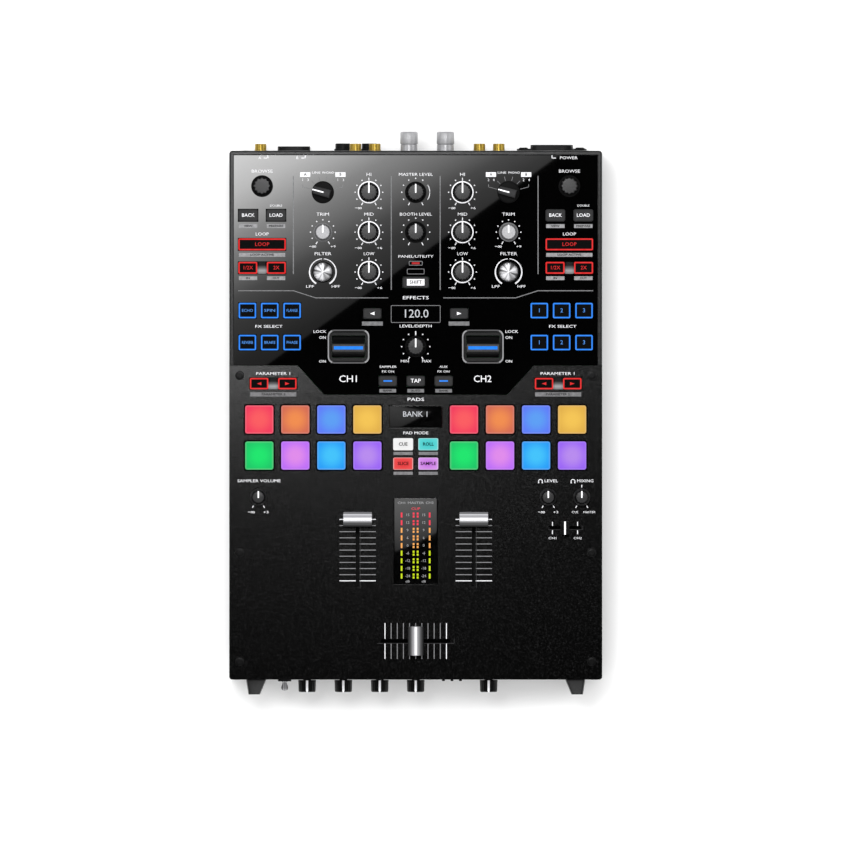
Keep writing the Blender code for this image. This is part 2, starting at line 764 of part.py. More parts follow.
def slot_holes():
    """Slots for the four sliders, each as long as its stem's travel."""
    low, high = PANEL_UNDER - PANEL_T, PANEL_TOP + PANEL_T
    wide = STEM_T + 2 * GAP
    channel = rectangle(wide, CHANNEL_TRAVEL + STEM_L + 2 * GAP)
    cross = rectangle(CROSSFADER_TRAVEL + STEM_L + 2 * GAP, wide)
    cue = rectangle(CUE_TRAVEL + STEM_L + 2 * GAP, wide)
    holes = [prism(channel, low, high, side * FADER_X, FADER_Y - CHANNEL_TRAVEL / 2) for side in (-1, 1)]
    holes.append(prism(cross, low, high, 0.0, CROSSFADER_Y))
    holes.append(prism(cue, low, high, CUE_X, CUE_Y))
    return holes


def lower_plate():
    """Lower steel plate, with round front corners and holes for its controls."""
    corner = [
        (HALF_W - CORNER_R + CORNER_R * math.sin(angle), BODY_FRONT + CORNER_R - CORNER_R * math.cos(angle))
        for angle in (0.0, math.pi / 6, math.pi / 3, math.pi / 2)
    ]
    seam = [
        (HALF_W, SEAM_SIDE_Y - GAP),
        (SEAM_OUTER_X + GAP, SEAM_SIDE_Y - GAP),
        (SEAM_INNER_X + GAP, SEAM_MID_Y - GAP),
    ]
    half = corner + seam
    outline = half + [(-x, y) for x, y in reversed(half)]
    plate = piece("lower_plate", prism(outline, PANEL_UNDER, PANEL_TOP), BLACK_STEEL)
    keys = pads(-1) + pads(1) + mode_keys()
    keys.append((0.0, DISPLAY_Y, DISPLAY_W, DISPLAY_D))
    keys.append((0.0, METER_Y, METER_W, METER_D))
    keys += [(side * PARAMETER_X, PARAMETER_Y, rocker_span(), PARAMETER_D) for side in (-1, 1)]
    cut(plate, key_holes(keys) + knob_holes(small_knob_places()) + slot_holes())


def window(name, y, width, depth):
    """Stepped window that drops into its cut-out from below."""
    lip = rectangle(width + 2 * WINDOW_LIP, depth + 2 * WINDOW_LIP, WINDOW_R)
    face = rectangle(width, depth, WINDOW_R)
    rings = [
        ring(lip, FLANGE_TOP - WINDOW_LIP_T),
        ring(lip, FLANGE_TOP),
        ring(face, FLANGE_TOP),
        ring(face, PANEL_TOP),
    ]
    piece(name, rings, SMOKED, (0.0, y, 0.0))


# Boards under the panels

def control_board():
    """Board for the knobs and keys, hung from the panels on six posts."""
    half = HALF_W - FLANGE_W - WEB_MARGIN
    rear = BROWSE_Y + POT_W
    front = SMALL_KNOB_Y - POT_W / 2 - GAP
    sheet = block(-half, half, front, rear, BOARD_TOP - BOARD_T, BOARD_TOP)
    board = piece("control_board", sheet, BOARD_GREEN)
    sunk = BOARD_TOP - BOARD_T / 2
    raised = []
    for x, y in upper_knob_places() + small_knob_places():
        raised.append(prism(rectangle(POT_W, POT_W), sunk, POT_TOP, x, y))
    between = (EQ_X + INPUT_X) / 2
    posts = [(between, (ROW_Y[0] + ROW_Y[1]) / 2), (between, (ROW_Y[1] + ROW_Y[2]) / 2)]
    posts.append((PADDLE_X + BEZEL_W / 2, (SMALL_KNOB_Y + PAD_Y - PAD_PITCH - PAD_W / 2) / 2))
    for x, y in posts:
        for side in (-1, 1):
            raised.append(prism(circle(SHAFT_R, HOLE_SIDES), sunk, FLANGE_TOP, side * x, y))
    join(board, raised)


def fader_board():
    """Board with the channel faders and the cue slider under their slots."""
    top = FLANGE_TOP - FADER_DEPTH
    long = CHANNEL_TRAVEL + STEM_L + 2 * GAP
    wide = STEM_T + 2 * GAP
    middle = FADER_Y - CHANNEL_TRAVEL / 2
    rear = middle + long / 2 + GAP
    front = middle - long / 2 - FADER_BOARD_EDGE
    left = -FADER_X - FADER_WALL - FADER_BOARD_EDGE
    right = CUE_X + CUE_TRAVEL / 2 + STEM_L + FADER_WALL
    board = piece("fader_board", block(left, right, front, rear, top - BOARD_T, top), BOARD_GREEN)
    sunk = top - BOARD_T / 2
    end = (rear - middle) * 2 - 2 * GAP
    housings = [
        prism(rectangle(wide + 2 * FADER_WALL, end), sunk, FLANGE_TOP, side * FADER_X, middle)
        for side in (-1, 1)
    ]
    cue_long = CUE_TRAVEL + STEM_L + 2 * GAP
    cue_body = rectangle(cue_long + FADER_WALL, wide + 2 * STEM_L)
    housings.append(prism(cue_body, sunk, FLANGE_TOP, CUE_X, CUE_Y))
    join(board, housings)
    bottom = PANEL_TOP - STEM_DEPTH - GAP
    grooves = [
        prism(rectangle(wide, long), bottom, PANEL_TOP, side * FADER_X, middle) for side in (-1, 1)
    ]
    grooves.append(prism(rectangle(cue_long, wide), bottom, PANEL_TOP, CUE_X, CUE_Y))
    cut(board, grooves)


def crossfader_unit():
    """Replaceable crossfader body, with two ears that screw up to the plate."""
    long = CROSSFADER_TRAVEL + STEM_L + 2 * GAP
    wide = STEM_T + 2 * GAP
    low = FLANGE_TOP - FADER_DEPTH
    outline = rectangle(long + 2 * FADER_WALL, wide + 2 * FADER_WALL)
    unit = piece("crossfader_unit", prism(outline, low, FLANGE_TOP), SILVER, (0.0, CROSSFADER_Y, 0.0))
    ears = rectangle(long + 2 * FADER_WALL + 2 * CROSS_EAR, wide + FADER_WALL, CORNER_R)
    join(unit, [prism(ears, FLANGE_TOP - CROSS_EAR_T, FLANGE_TOP - GAP)])
    cut(unit, [prism(rectangle(long, wide), PANEL_TOP - STEM_DEPTH - GAP, PANEL_TOP)])


# Rear sockets and power

def jack_board():
    """Upright board with the line, booth and computer sockets."""
    left, right = JACK_BOARD_SPAN
    floor = FOOT_H + SHEET_T + GAP
    back = -JACK_BOARD_DEPTH
    board = block(left, right, floor, JACK_BOARD_TOP, back - BOARD_T, back)
    body = piece("jack_board", board, BLACK_PLASTIC, (0.0, BODY_REAR, 0.0), REAR_TURN)
    sunk = back - BOARD_T / 2
    inside = -PANEL_T - GAP
    bodies = []
    for x, z in RCA_COLUMNS:
        outline = rectangle(RCA_BLOCK, RCA_BLOCK + RCA_PITCH)
        bodies.append(prism(outline, sunk, inside, x, z - RCA_PITCH / 2))
    for x, z in PHONE_JACKS:
        bodies.append(prism(rectangle(JACK_BLOCK, JACK_BLOCK), sunk, inside, x, z))
    for x, z in USB_PORTS:
        bodies.append(prism(rectangle(USB_W, USB_H), sunk, 0.0, x, z))
    join(body, bodies)
    barrels = []
    holes = []
    for x, z in RCA_COLUMNS:
        for row in range(2):
            y = z - row * RCA_PITCH
            barrels.append(prism(circle(RCA_R, SOCKET_SIDES), inside - PANEL_T, RCA_OUT, x, y))
            hole = circle(RCA_HOLE_R, SOCKET_SIDES // 2)
            holes.append(prism(hole, RCA_OUT - RCA_HOLE_DEPTH, 2 * RCA_OUT, x, y))
    for x, z in PHONE_JACKS:
        barrels.append(prism(circle(JACK_BUSH_R, SOCKET_SIDES), inside - PANEL_T, JACK_OUT, x, z))
        holes.append(prism(bore(JACK_HOLE_R), JACK_OUT - JACK_HOLE_DEPTH, 2 * JACK_OUT, x, z))
    for x, z in USB_PORTS:
        port = rectangle(USB_W - 2 * USB_WALL, USB_H - 2 * USB_WALL)
        holes.append(prism(port, -USB_HOLE_DEPTH, PANEL_T, x, z))
    join(body, barrels)
    cut(body, holes)


def mic_jack():
    """Combination microphone socket, its flange outside the rear plate."""
    flange = rectangle(MIC_FLANGE_W, MIC_FLANGE_H, MIC_FLANGE_R, 3)
    outer = prism(flange, GAP, MIC_FLANGE_T)
    body = piece("mic_jack", outer, BLACK_PLASTIC, (-MIC_X, BODY_REAR, MIC_Z), REAR_TURN)
    join(body, [prism(circle(MIC_BODY_R), -MIC_DEPTH, (GAP + MIC_FLANGE_T) / 2)])
    bottom = MIC_FLANGE_T - MIC_RING_DEPTH
    cut(body, [prism(circle(MIC_RING_R), bottom, 2 * MIC_FLANGE_T)])
    join(body, [prism(circle(MIC_CORE_R), bottom - PANEL_T, MIC_FLANGE_T - PANEL_T / 2)])
    cut(body, [prism(bore(JACK_HOLE_R), PANEL_T - MIC_DEPTH, 2 * MIC_FLANGE_T)])


def power_supply():
    """Mains inlet with three pins, on the front of its closed supply unit."""
    shroud = rectangle(INLET_W, INLET_H, INLET_R)
    rings = prism(shroud, GAP, INLET_OUT)
    unit = piece("power_supply", rings, BLACK_PLASTIC, (-INLET_X, BODY_REAR, INLET_Z), REAR_TURN)
    floor = FOOT_H + SHEET_T + GAP - INLET_Z
    neck = rectangle(INLET_W - INLET_WALL, INLET_H - INLET_WALL)
    join(unit, [prism(neck, -INLET_BODY_DEPTH - BOARD_T, INLET_OUT / 2)])
    half = SUPPLY_W / 2
    back = -INLET_BODY_DEPTH - SUPPLY_L
    ear = rectangle(INLET_EAR_W, INLET_EAR_H, INLET_R)
    join(unit, [
        block(-half, half, floor, SUPPLY_TOP - INLET_Z, back, -INLET_BODY_DEPTH),
        prism(ear, 2 * GAP, INLET_EAR_T),
    ])
    bottom = INLET_OUT - INLET_DEPTH
    mouth = rectangle(INLET_W - 2 * INLET_WALL, INLET_H - 2 * INLET_WALL, INLET_R / 2)
    cut(unit, [prism(mouth, bottom, 2 * INLET_OUT)])
    tip = INLET_OUT - PIN_TIP
    blade = rectangle(PIN_W, PIN_H)
    low = bottom - PANEL_T
    join(unit, [
        prism(blade, low, tip, -PIN_SPREAD, -PIN_OFFSET),
        prism(blade, low, tip, 0.0, PIN_OFFSET),
        prism(blade, low, tip, PIN_SPREAD, -PIN_OFFSET),
    ])


def power_switch():
    """Rocker on an upright pivot behind the rear plate, tipped to off."""
    high = SWITCH_PIVOT + SWITCH_OUT
    low = SWITCH_PIVOT - SWITCH_IN
    dip = SWITCH_OUT / 2
    half = SWITCH_W / 2
    outline = [(-half, low), (half, low), (half, high), (half / 2, high - dip)]
    outline += [(0.0, high - SWITCH_CROWN * dip), (-half / 2, high - dip), (-half, high)]
    solid = swept_y(outline, -SWITCH_H / 2, SWITCH_H / 2)
    place = (-SWITCH_X, BODY_REAR - SWITCH_PIVOT, SWITCH_Z)
    turn = (math.pi / 2, 0.0, math.pi + SWITCH_TILT)
    piece("power_switch", solid, BLACK_PLASTIC, place, turn)


# Turned controls

def knob(name, place, skirt_r, cap_r, height, finish, turn=(0.0, 0.0, 0.0), shaft=None,
         sides=KNOB_SIDES):
    """A shaft, a skirt and a fluted, tapered cap, about the shaft's axis."""
    depth = PANEL_TOP - POT_TOP - GAP if shaft is None else shaft
    stations = [
        (SHAFT_R, -depth, False),
        (SHAFT_R, KNOB_LIFT, False),
        (skirt_r, KNOB_LIFT, False),
        (skirt_r, SKIRT_H - KNOB_LIFT, False),
        (cap_r, SKIRT_H, True),
        (cap_r - KNOB_TAPER, height - KNOB_EDGE, True),
        (cap_r - KNOB_TAPER - KNOB_EDGE, height, False),
    ]
    return piece(name, turned(stations, sides=sides, flute=FLUTE), finish, place, turn)


def selector(name, place):
    """A disc with a bar handle across it, set to its first position."""
    stations = [
        (SHAFT_R, POT_TOP + GAP - PANEL_TOP, False),
        (SHAFT_R, KNOB_LIFT, False),
        (SELECTOR_R, KNOB_LIFT, False),
        (SELECTOR_R, SELECTOR_DISC_H - KNOB_EDGE, False),
        (SELECTOR_R - KNOB_EDGE, SELECTOR_DISC_H, False),
    ]
    body = piece(name, turned(stations), BLACK_PLASTIC, place, (0.0, 0.0, SELECTOR_REST))
    long = 2 * (SELECTOR_R - KNOB_EDGE) - KNOB_EDGE
    foot = rectangle(long, SELECTOR_BAR_W, SELECTOR_BAR_W / 3)
    crest = rectangle(long - KNOB_EDGE, SELECTOR_BAR_W - KNOB_EDGE, SELECTOR_BAR_W / 4)
    join(body, [[ring(foot, SELECTOR_DISC_H / 2), ring(foot, SELECTOR_DISC_H), ring(crest, SELECTOR_H)]])


def top_knobs():
    for side_name, side in SIDES.items():
        selector(f"input_selector_{side_name}", (side * INPUT_X, ROW_Y[0], PANEL_TOP))
        knob(f"browse_knob_{side_name}", (side * DECK_X, BROWSE_Y, PANEL_TOP),
             BROWSE_SKIRT_R, BROWSE_CAP_R, BROWSE_H, BLACK_PLASTIC)
        knob(f"trim_knob_{side_name}", (side * INPUT_X, ROW_Y[1], PANEL_TOP),
             TRIM_SKIRT_R, TRIM_CAP_R, TRIM_H, LIGHT_GREY)
        knob(f"filter_knob_{side_name}", (side * INPUT_X, ROW_Y[2], PANEL_TOP),
             FILTER_SKIRT_R, FILTER_CAP_R, FILTER_H, SILVER)
        for band, y in zip(("high", "mid", "low"), ROW_Y):
            knob(f"{band}_knob_{side_name}", (side * EQ_X, y, PANEL_TOP),
                 EQ_SKIRT_R, EQ_CAP_R, EQ_H, BLACK_PLASTIC)
    middle = {"master_level_knob": ROW_Y[0], "booth_level_knob": ROW_Y[1], "effect_depth_knob": PADDLE_Y}
    for name, y in middle.items():
        knob(name, (0.0, y, PANEL_TOP), LEVEL_SKIRT_R, LEVEL_CAP_R, LEVEL_H, BLACK_PLASTIC)
    small = ("sampler_level_knob", "phones_level_knob", "phones_mix_knob")
    for name, (x, y) in zip(small, small_knob_places()):
        knob(name, (x, y, PANEL_TOP), SMALL_SKIRT_R, SMALL_CAP_R, SMALL_H, BLACK_PLASTIC,
             sides=SMALL_KNOB_SIDES)


# Keys and pads

def key_solid(key, origin, rise, corner):
    """One key from the middle of its web up to its bevelled top."""
    x, y, width, depth = key
    full = rectangle(width, depth, corner, 1)
    top = rectangle(width - 2 * KEY_BEVEL, depth - 2 * KEY_BEVEL, corner, 1)
    low = (WEB_TOP + WEB_LOW) / 2 - PANEL_TOP
    x -= origin[0]
    y -= origin[1]
    return [ring(full, low, x, y), ring(full, rise - KEY_BEVEL, x, y), ring(top, rise, x, y)]


def saddle_cut(key, origin):
    """The dip between the two halves of a double key."""
    x, y, _, depth = key
    foot = rectangle(SADDLE_W - 2 * SADDLE_DEPTH, 2 * depth)
    mouth = rectangle(SADDLE_W, 2 * depth)
    x -= origin[0]
    y -= origin[1]
    return [ring(foot, KEY_RISE - SADDLE_DEPTH, x, y), ring(mouth, KEY_RISE + GAP, x, y)]


def keypad(name, keys, rise, corner, finish):
    """Keys on one flexible web that lies between the board and the panel."""
    left = min(x - w / 2 for x, _, w, _ in keys) - WEB_MARGIN
    right = max(x + w / 2 for x, _, w, _ in keys) + WEB_MARGIN
    front = min(y - d / 2 for _, y, _, d in keys) - WEB_MARGIN
    rear = max(y + d / 2 for _, y, _, d in keys) + WEB_MARGIN
    origin = ((left + right) / 2, (front + rear) / 2)
    web = rectangle(right - left, rear - front, WEB_MARGIN)
    place = (*origin, PANEL_TOP)
    body = piece(name, prism(web, WEB_LOW - PANEL_TOP, WEB_TOP - PANEL_TOP), finish, place)
    join(body, [key_solid(key, origin, rise, corner) for key in keys])
    return body, origin


def centre_keypad():
    """Shift, arrow and tap keys on a web that goes round the depth control."""
    origin = (0.0, ARROW_Y)
    low, high = WEB_LOW - PANEL_TOP, WEB_TOP - PANEL_TOP
    reach = ARROW_X + ARROW_W / 2 + WEB_MARGIN
    cross = block(-reach, reach, -ARROW_D / 2, ARROW_D / 2, low, high)
    body = piece("centre_keypad", cross, GREY_PLASTIC, (*origin, PANEL_TOP))
    half = WEB_STRIP / 2
    inner = WEB_T / 10
    foot = TAP_Y - ARROW_Y
    legs = [
        block(x - half, x + half, foot, 0.0, low + inner, high - inner) for x in (-TAP_PITCH, TAP_PITCH)
    ]
    legs.append(block(-half, half, 0.0, SHIFT_Y - ARROW_Y, low + inner, high - inner))
    join(body, legs)
    bar = TAP_PITCH + TAP_W / 2 + WEB_MARGIN
    join(body, [block(-bar, bar, foot - half, foot + half, low, high)])
    join(body, [key_solid(key, origin, KEY_RISE, KEY_CORNER) for key in centre_keys()])


def parameter_rocker(name, side):
    """A double key that tips about its middle, with a dip between its halves."""
    half = PARAMETER_W / 2
    dip = SADDLE_W / 2
    low = -ROCKER_DEPTH
    top = KEY_RISE
    outline = [(-half, low), (half, low), (half, top - KEY_BEVEL), (half - KEY_BEVEL, top), (dip, top)]
    outline += [(dip - SADDLE_DEPTH, top - SADDLE_DEPTH), (SADDLE_DEPTH - dip, top - SADDLE_DEPTH)]
    outline += [(-dip, top), (KEY_BEVEL - half, top), (-half, top - KEY_BEVEL)]
    solid = swept_y(outline, -PARAMETER_D / 2, PARAMETER_D / 2)
    piece(name, solid, GREY_PLASTIC, (side * PARAMETER_X, PARAMETER_Y, PANEL_TOP))


def keypads():
    for side_name, side in SIDES.items():
        deck, origin = keypad(f"deck_keypad_{side_name}", deck_keys(side), KEY_RISE, KEY_CORNER, GREY_PLASTIC)
        cut(deck, [saddle_cut(deck_keys(side)[-1], origin)])
        keypad(f"effect_keypad_{side_name}", effect_keys(side), KEY_RISE, KEY_CORNER, BLACK_PLASTIC)
        keypad(f"pad_mat_{side_name}", pads(side), PAD_RISE, PAD_CORNER, PAD_RUBBER)
        parameter_rocker(f"parameter_rocker_{side_name}", side)
    keypad("pad_mode_keypad", mode_keys(), KEY_RISE, KEY_CORNER, GREY_PLASTIC)
    centre_keypad()


# Sliders and paddles

def slider_cap(name, place, width, depth, height, finish, turn=0.0):
    """A cap with a hollowed ridge across its travel, on a blade-like stem."""
    crest = FADER_CREST / 2
    shoulder = height * FADER_SHOULDER
    flank = []
    for step in range(4):
        along = step / 3
        flank.append((depth / 2 + (crest - depth / 2) * along, shoulder + (height - shoulder) * along ** 2))
    outline = [(-depth / 2, KNOB_LIFT), (depth / 2, KNOB_LIFT)] + flank
    outline += [(-y, z) for y, z in reversed(flank)]
    solid = swept_x(outline, -width / 2, width / 2)
    body = piece(name, solid, finish, place, (0.0, 0.0, turn))
    half = STEM_L / 2
    join(body, [block(-STEM_T / 2, STEM_T / 2, -half, half, -STEM_DEPTH, shoulder / 2)])


def sliders():
    for side_name, side in SIDES.items():
        slider_cap(f"channel_fader_{side_name}", (side * FADER_X, FADER_Y, PANEL_TOP),
                   FADER_CAP_W, FADER_CAP_D, FADER_CAP_H, SILVER)
    slider_cap("crossfader", (0.0, CROSSFADER_Y, PANEL_TOP),
               CROSS_CAP_W, CROSS_CAP_D, FADER_CAP_H, SILVER, math.pi / 2)
    slider_cap("cue_slider", (CUE_X, CUE_Y, PANEL_TOP),
               CUE_CAP_W, CUE_CAP_D, CUE_CAP_H, BLACK_PLASTIC, math.pi / 2)


def bezel_mouth():
    """Width and depth of the opening that a paddle swings in."""
    return PADDLE_W + 2 * PADDLE_GAP, 2 * (PADDLE_R + PADDLE_GAP)


def bezel_collar():
    """Width and depth of the collar that passes down through the panel."""
    width, depth = bezel_mouth()
    return width + 2 * BEZEL_WALL, depth + 2 * BEZEL_WALL


def paddle_bezel(name, side):
    """A rounded rim on the panel round a sunk shelf, with a collar down through the panel."""
    flange = rectangle(BEZEL_W, BEZEL_D, BEZEL_R, 4)
    brow = rectangle(BEZEL_W - BEZEL_H, BEZEL_D - BEZEL_H, BEZEL_R - BEZEL_H / 4, 4)
    place = (side * PADDLE_X, PADDLE_Y, PANEL_TOP)
    rings = [ring(flange, GAP), ring(flange, BEZEL_H / 2), ring(brow, BEZEL_H)]
    body = piece(name, rings, CHROME, place)
    join(body, [prism(rectangle(*bezel_collar()), -PANEL_T, BEZEL_H / 2)])
    well = rectangle(BEZEL_W - 2 * BEZEL_RIM, BEZEL_D - 2 * BEZEL_RIM, BEZEL_R - BEZEL_RIM, 4)
    cut(body, [prism(well, BEZEL_SHELF, 2 * BEZEL_H)])
    cut(body, [prism(rectangle(*bezel_mouth()), -2 * PANEL_T, 2 * BEZEL_H)])


def effect_paddle(name, side):
    """A half drum on a cross axis, with a blade to push or pull that leans to the front."""
    rear = PADDLE_ROOT * 0.75
    front = rear - PADDLE_ROOT
    turn_in = math.acos(rear / PADDLE_R)
    turn_out = math.acos(front / PADDLE_R)
    outline = [(PADDLE_R * math.cos(turn_in * step / 3), PADDLE_R * math.sin(turn_in * step / 3))
               for step in range(4)]
    lean = rear - PADDLE_LEAN
    for step in range(5):
        angle = math.pi * step / 4
        outline.append((lean - PADDLE_TIP / 2 + PADDLE_TIP / 2 * math.cos(angle),
                        PADDLE_H + PADDLE_TIP / 4 * math.sin(angle)))
    for step in range(4):
        angle = turn_out + (math.pi - turn_out) * step / 3
        outline.append((PADDLE_R * math.cos(angle), PADDLE_R * math.sin(angle)))
    place = (side * PADDLE_X, PADDLE_Y, PANEL_TOP - PADDLE_AXIS_DROP)
    piece(name, swept_x(outline, -PADDLE_W / 2, PADDLE_W / 2), BLACK_PLASTIC, place)


def paddles():
    for side_name, side in SIDES.items():
        paddle_bezel(f"paddle_bezel_{side_name}", side)
        effect_paddle(f"effect_paddle_{side_name}", side)


# Front controls

def front_controls():
    for number, x in enumerate(FRONT_KNOB_X, 1):
        knob(f"front_knob_{number}", (x, BODY_FRONT, FRONT_Z), FRONT_KNOB_R, FRONT_KNOB_R - KNOB_TAPER,
             FRONT_KNOB_H, BLACK_PLASTIC, FRONT_TURN, PANEL_T + FRONT_SHAFT, SMALL_KNOB_SIDES)
    ball = TOGGLE_BALL_R
    stations = []
    for step in range(1, 5):
        angle = math.pi * step / 6
        stations.append((ball * math.sin(angle), -ball * math.cos(angle), False))
    stations += [
        (TOGGLE_NECK_R, ball, False),
        (TOGGLE_TIP_R, TOGGLE_L - TOGGLE_TIP_R, False),
        (TOGGLE_TIP_R * 0.9, TOGGLE_L - TOGGLE_TIP_R / 3, False),
        (TOGGLE_TIP_R * 0.5, TOGGLE_L, False),
    ]
    tilt = (math.pi / 2 + TOGGLE_TILT, 0.0, 0.0)
    piece("front_toggle", turned(stations, sides=10), CHROME, (TOGGLE_X, BODY_FRONT, FRONT_Z), tilt)
    reach = NUB_X[-1] - NUB_X[0] + 2 * NUB_W
    middle = (NUB_X[0] + NUB_X[-1]) / 2
    bar = prism(rectangle(reach, NUB_BAR_D), -PANEL_T - GAP - NUB_BAR_T, -PANEL_T - GAP)
    place = (middle, BODY_FRONT, FRONT_Z)
    switches = piece("reverse_switches", bar, BLACK_PLASTIC, place, FRONT_TURN)
    nub = rectangle(NUB_W, NUB_W)
    low = -PANEL_T - GAP - NUB_BAR_T / 2
    join(switches, [prism(nub, low, NUB_RISE, x - middle) for x in NUB_X])


base_tray()
front_panel()
rear_panel()
upper_frame()
gloss_panel()
lower_plate()
window("meter_window", METER_Y, METER_W, METER_D)
window("pad_display", DISPLAY_Y, DISPLAY_W, DISPLAY_D)
control_board()
fader_board()
crossfader_unit()
jack_board()
mic_jack()
power_supply()
power_switch()
top_knobs()
keypads()
sliders()
paddles()
front_controls()
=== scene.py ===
"""Looks for a two-channel performance mixer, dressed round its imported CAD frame."""

import json
from math import cos, hypot, pi, radians, sin

import bmesh
import bpy
from mathutils import Matrix, Vector

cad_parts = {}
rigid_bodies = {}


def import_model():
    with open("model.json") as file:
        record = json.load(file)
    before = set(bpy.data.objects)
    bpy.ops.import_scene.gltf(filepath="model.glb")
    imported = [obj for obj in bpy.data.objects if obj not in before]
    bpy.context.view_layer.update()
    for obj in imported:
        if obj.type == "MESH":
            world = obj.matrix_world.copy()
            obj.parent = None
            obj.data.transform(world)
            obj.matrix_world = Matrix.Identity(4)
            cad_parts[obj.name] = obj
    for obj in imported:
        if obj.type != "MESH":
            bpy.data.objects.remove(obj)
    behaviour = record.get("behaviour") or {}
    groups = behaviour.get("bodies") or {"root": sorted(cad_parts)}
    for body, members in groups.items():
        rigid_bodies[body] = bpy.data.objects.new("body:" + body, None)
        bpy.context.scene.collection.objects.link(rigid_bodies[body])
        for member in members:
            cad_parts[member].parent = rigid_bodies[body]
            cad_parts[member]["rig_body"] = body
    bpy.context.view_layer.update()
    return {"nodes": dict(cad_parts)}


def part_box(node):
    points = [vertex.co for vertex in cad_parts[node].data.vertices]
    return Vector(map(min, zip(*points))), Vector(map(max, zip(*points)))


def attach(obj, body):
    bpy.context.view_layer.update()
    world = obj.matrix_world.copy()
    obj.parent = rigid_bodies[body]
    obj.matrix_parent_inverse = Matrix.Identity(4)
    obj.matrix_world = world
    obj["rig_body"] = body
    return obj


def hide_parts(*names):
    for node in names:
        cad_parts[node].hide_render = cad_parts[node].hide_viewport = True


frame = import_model()

# The view is straight down through a long lens, so that the case keeps its square
# outline. The field is 608.6 mm across the square image, a little off the case's centre.
LENS, SENSOR, FIELD, FARTHEST = 1200, 36, 0.6086, 80
VIEW_X, VIEW_Y = 0.00666, -0.00863
PANEL_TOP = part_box("gloss_panel")[1].z
CAMERA_UP = FIELD * LENS / SENSOR
scene = bpy.context.scene
camera_data = bpy.data.cameras.new("camera")
camera_data.lens, camera_data.sensor_width, camera_data.clip_end = LENS, SENSOR, FARTHEST
camera = bpy.data.objects.new("camera", camera_data)
camera.location = (VIEW_X, VIEW_Y, PANEL_TOP + CAMERA_UP)
scene.collection.objects.link(camera)
scene.camera = camera
scene.view_settings.view_transform = "Standard"

# The studio is a white table under soft boxes. The main one stands at the rear left, so the
# shadow falls to the right and to the front. The two that would show in the gloss panel are
# kept out of mirrors, and the room's own light as well.
FLOOR_HALF, FLOOR_GREY, FLOOR_ROUGH, ROOM_LIGHT = 8, 0.9, 0.9, 0.72
SOFT_BOXES = (
    ("main_box", (-0.3, 0.36, 2.7), 0.55, 27, False),
    ("rear_box", (-1.81, 0.49, 1.9), 0.9, 10, True),
    ("right_box", (2, 0.5, 1.2), 1, 10, True),
    ("front_box", (0.2, -2.2, 1.2), 1, 9, True),
    ("strip_box", (0, 0.42, 1.6), 0.3, 6, True),
    ("overhead_box", (0, 0, 3.2), 2.2, 44, False),
)


def fitted(tree, node, **settings):
    """Sets or links a node's inputs by their labels, and sets what is no input."""
    for name, value in settings.items():
        label = name.replace("_", " ")
        if label not in node.inputs:
            setattr(node, name, value)
        elif isinstance(value, bpy.types.NodeSocket):
            tree.links.new(value, node.inputs[label])
        else:
            node.inputs[label].default_value = value
    return node


def new_finish(name, **settings):
    """A new material, with its node tree and its shader."""
    finish = bpy.data.materials.new(name)
    finish.use_nodes = True
    tree = finish.node_tree
    return finish, tree, fitted(tree, tree.nodes["Principled BSDF"], **settings)


def staged(name, points, finish):
    """A flat sheet that belongs to the studio."""
    mesh = bpy.data.meshes.new(name)
    mesh.from_pydata(points, [], [range(len(points))])
    mesh.materials.append(finish)
    sheet = bpy.data.objects.new(name, mesh)
    scene.collection.objects.link(sheet)
    return sheet


floor_colour = (FLOOR_GREY, FLOOR_GREY, FLOOR_GREY, 1)
floor_paint = new_finish("floor_paint", Base_Color=floor_colour, Roughness=FLOOR_ROUGH)[0]
floor_corners = ((-1, -1), (1, -1), (1, 1), (-1, 1))
staged("floor", [(x * FLOOR_HALF, y * FLOOR_HALF, 0) for x, y in floor_corners], floor_paint)
world = bpy.data.worlds.new("studio")
world.use_nodes = True
fitted(world.node_tree, world.node_tree.nodes["Background"], Color=(1, 1, 1, 1), Strength=ROOM_LIGHT)
scene.world = world
world.cycles_visibility.glossy = False
for name, place, size, power, in_mirrors in SOFT_BOXES:
    lamp_data = bpy.data.lights.new(name, "AREA")
    lamp_data.shape, lamp_data.size, lamp_data.energy = "SQUARE", size, power
    lamp = bpy.data.objects.new(name, lamp_data)
    lamp.location = place
    aim = Vector((0, 0, PANEL_TOP)) - Vector(place)
    lamp.rotation_euler = aim.to_track_quat("-Z", "Y").to_euler()
    lamp.visible_glossy = in_mirrors
    scene.collection.objects.link(lamp)

# A slanting card over the case, out of the lens's sight, is what the gloss panel mirrors:
# brightest over its rear left corner, ending in a straight edge that slants across.
# Two smaller cards do the same for the meter and pad windows, brighter to the rear.
CARD_UP = 1.5
CARD_SPREAD = (CAMERA_UP + CARD_UP) / CAMERA_UP
CARD_EDGE = ((0.098, 0.1811), (-0.1018, 0.0379))
CARD_ENDS, CARD_DEEP = 0.07, 0.19
CARD_CORNER, CARD_FALL, CARD_TURN, CARD_POWER = (-0.1258, 0.1825), 0.15, -62.2, 15.5
CARD_STEPS = (
    (0, 1), (0.13, 0.81), (0.19, 0.68), (0.33, 0.38), (0.58, 0.103), (0.68, 0.06), (0.86, 0.028),
    (1, 0.02),
)
WINDOW_TURN = -75
METER_CARD = ((-0.0175, -0.059), (-0.0175, -0.0993), (0.0175, -0.0835), (0.0175, -0.059))
PAD_CARD = ((-0.0215, 0.0065), (-0.0215, -0.0167), (0.011, 0.0065))
WINDOW_CARDS = (("meter_card", METER_CARD, 0.04, 1.05, 0.25), ("pad_card", PAD_CARD, 0.022, 0.42, 0.12))


def card_place(x, y):
    """Where a card must be for its reflection to lie at a place on the panel."""
    return VIEW_X + (x - VIEW_X) * CARD_SPREAD, VIEW_Y + (y - VIEW_Y) * CARD_SPREAD


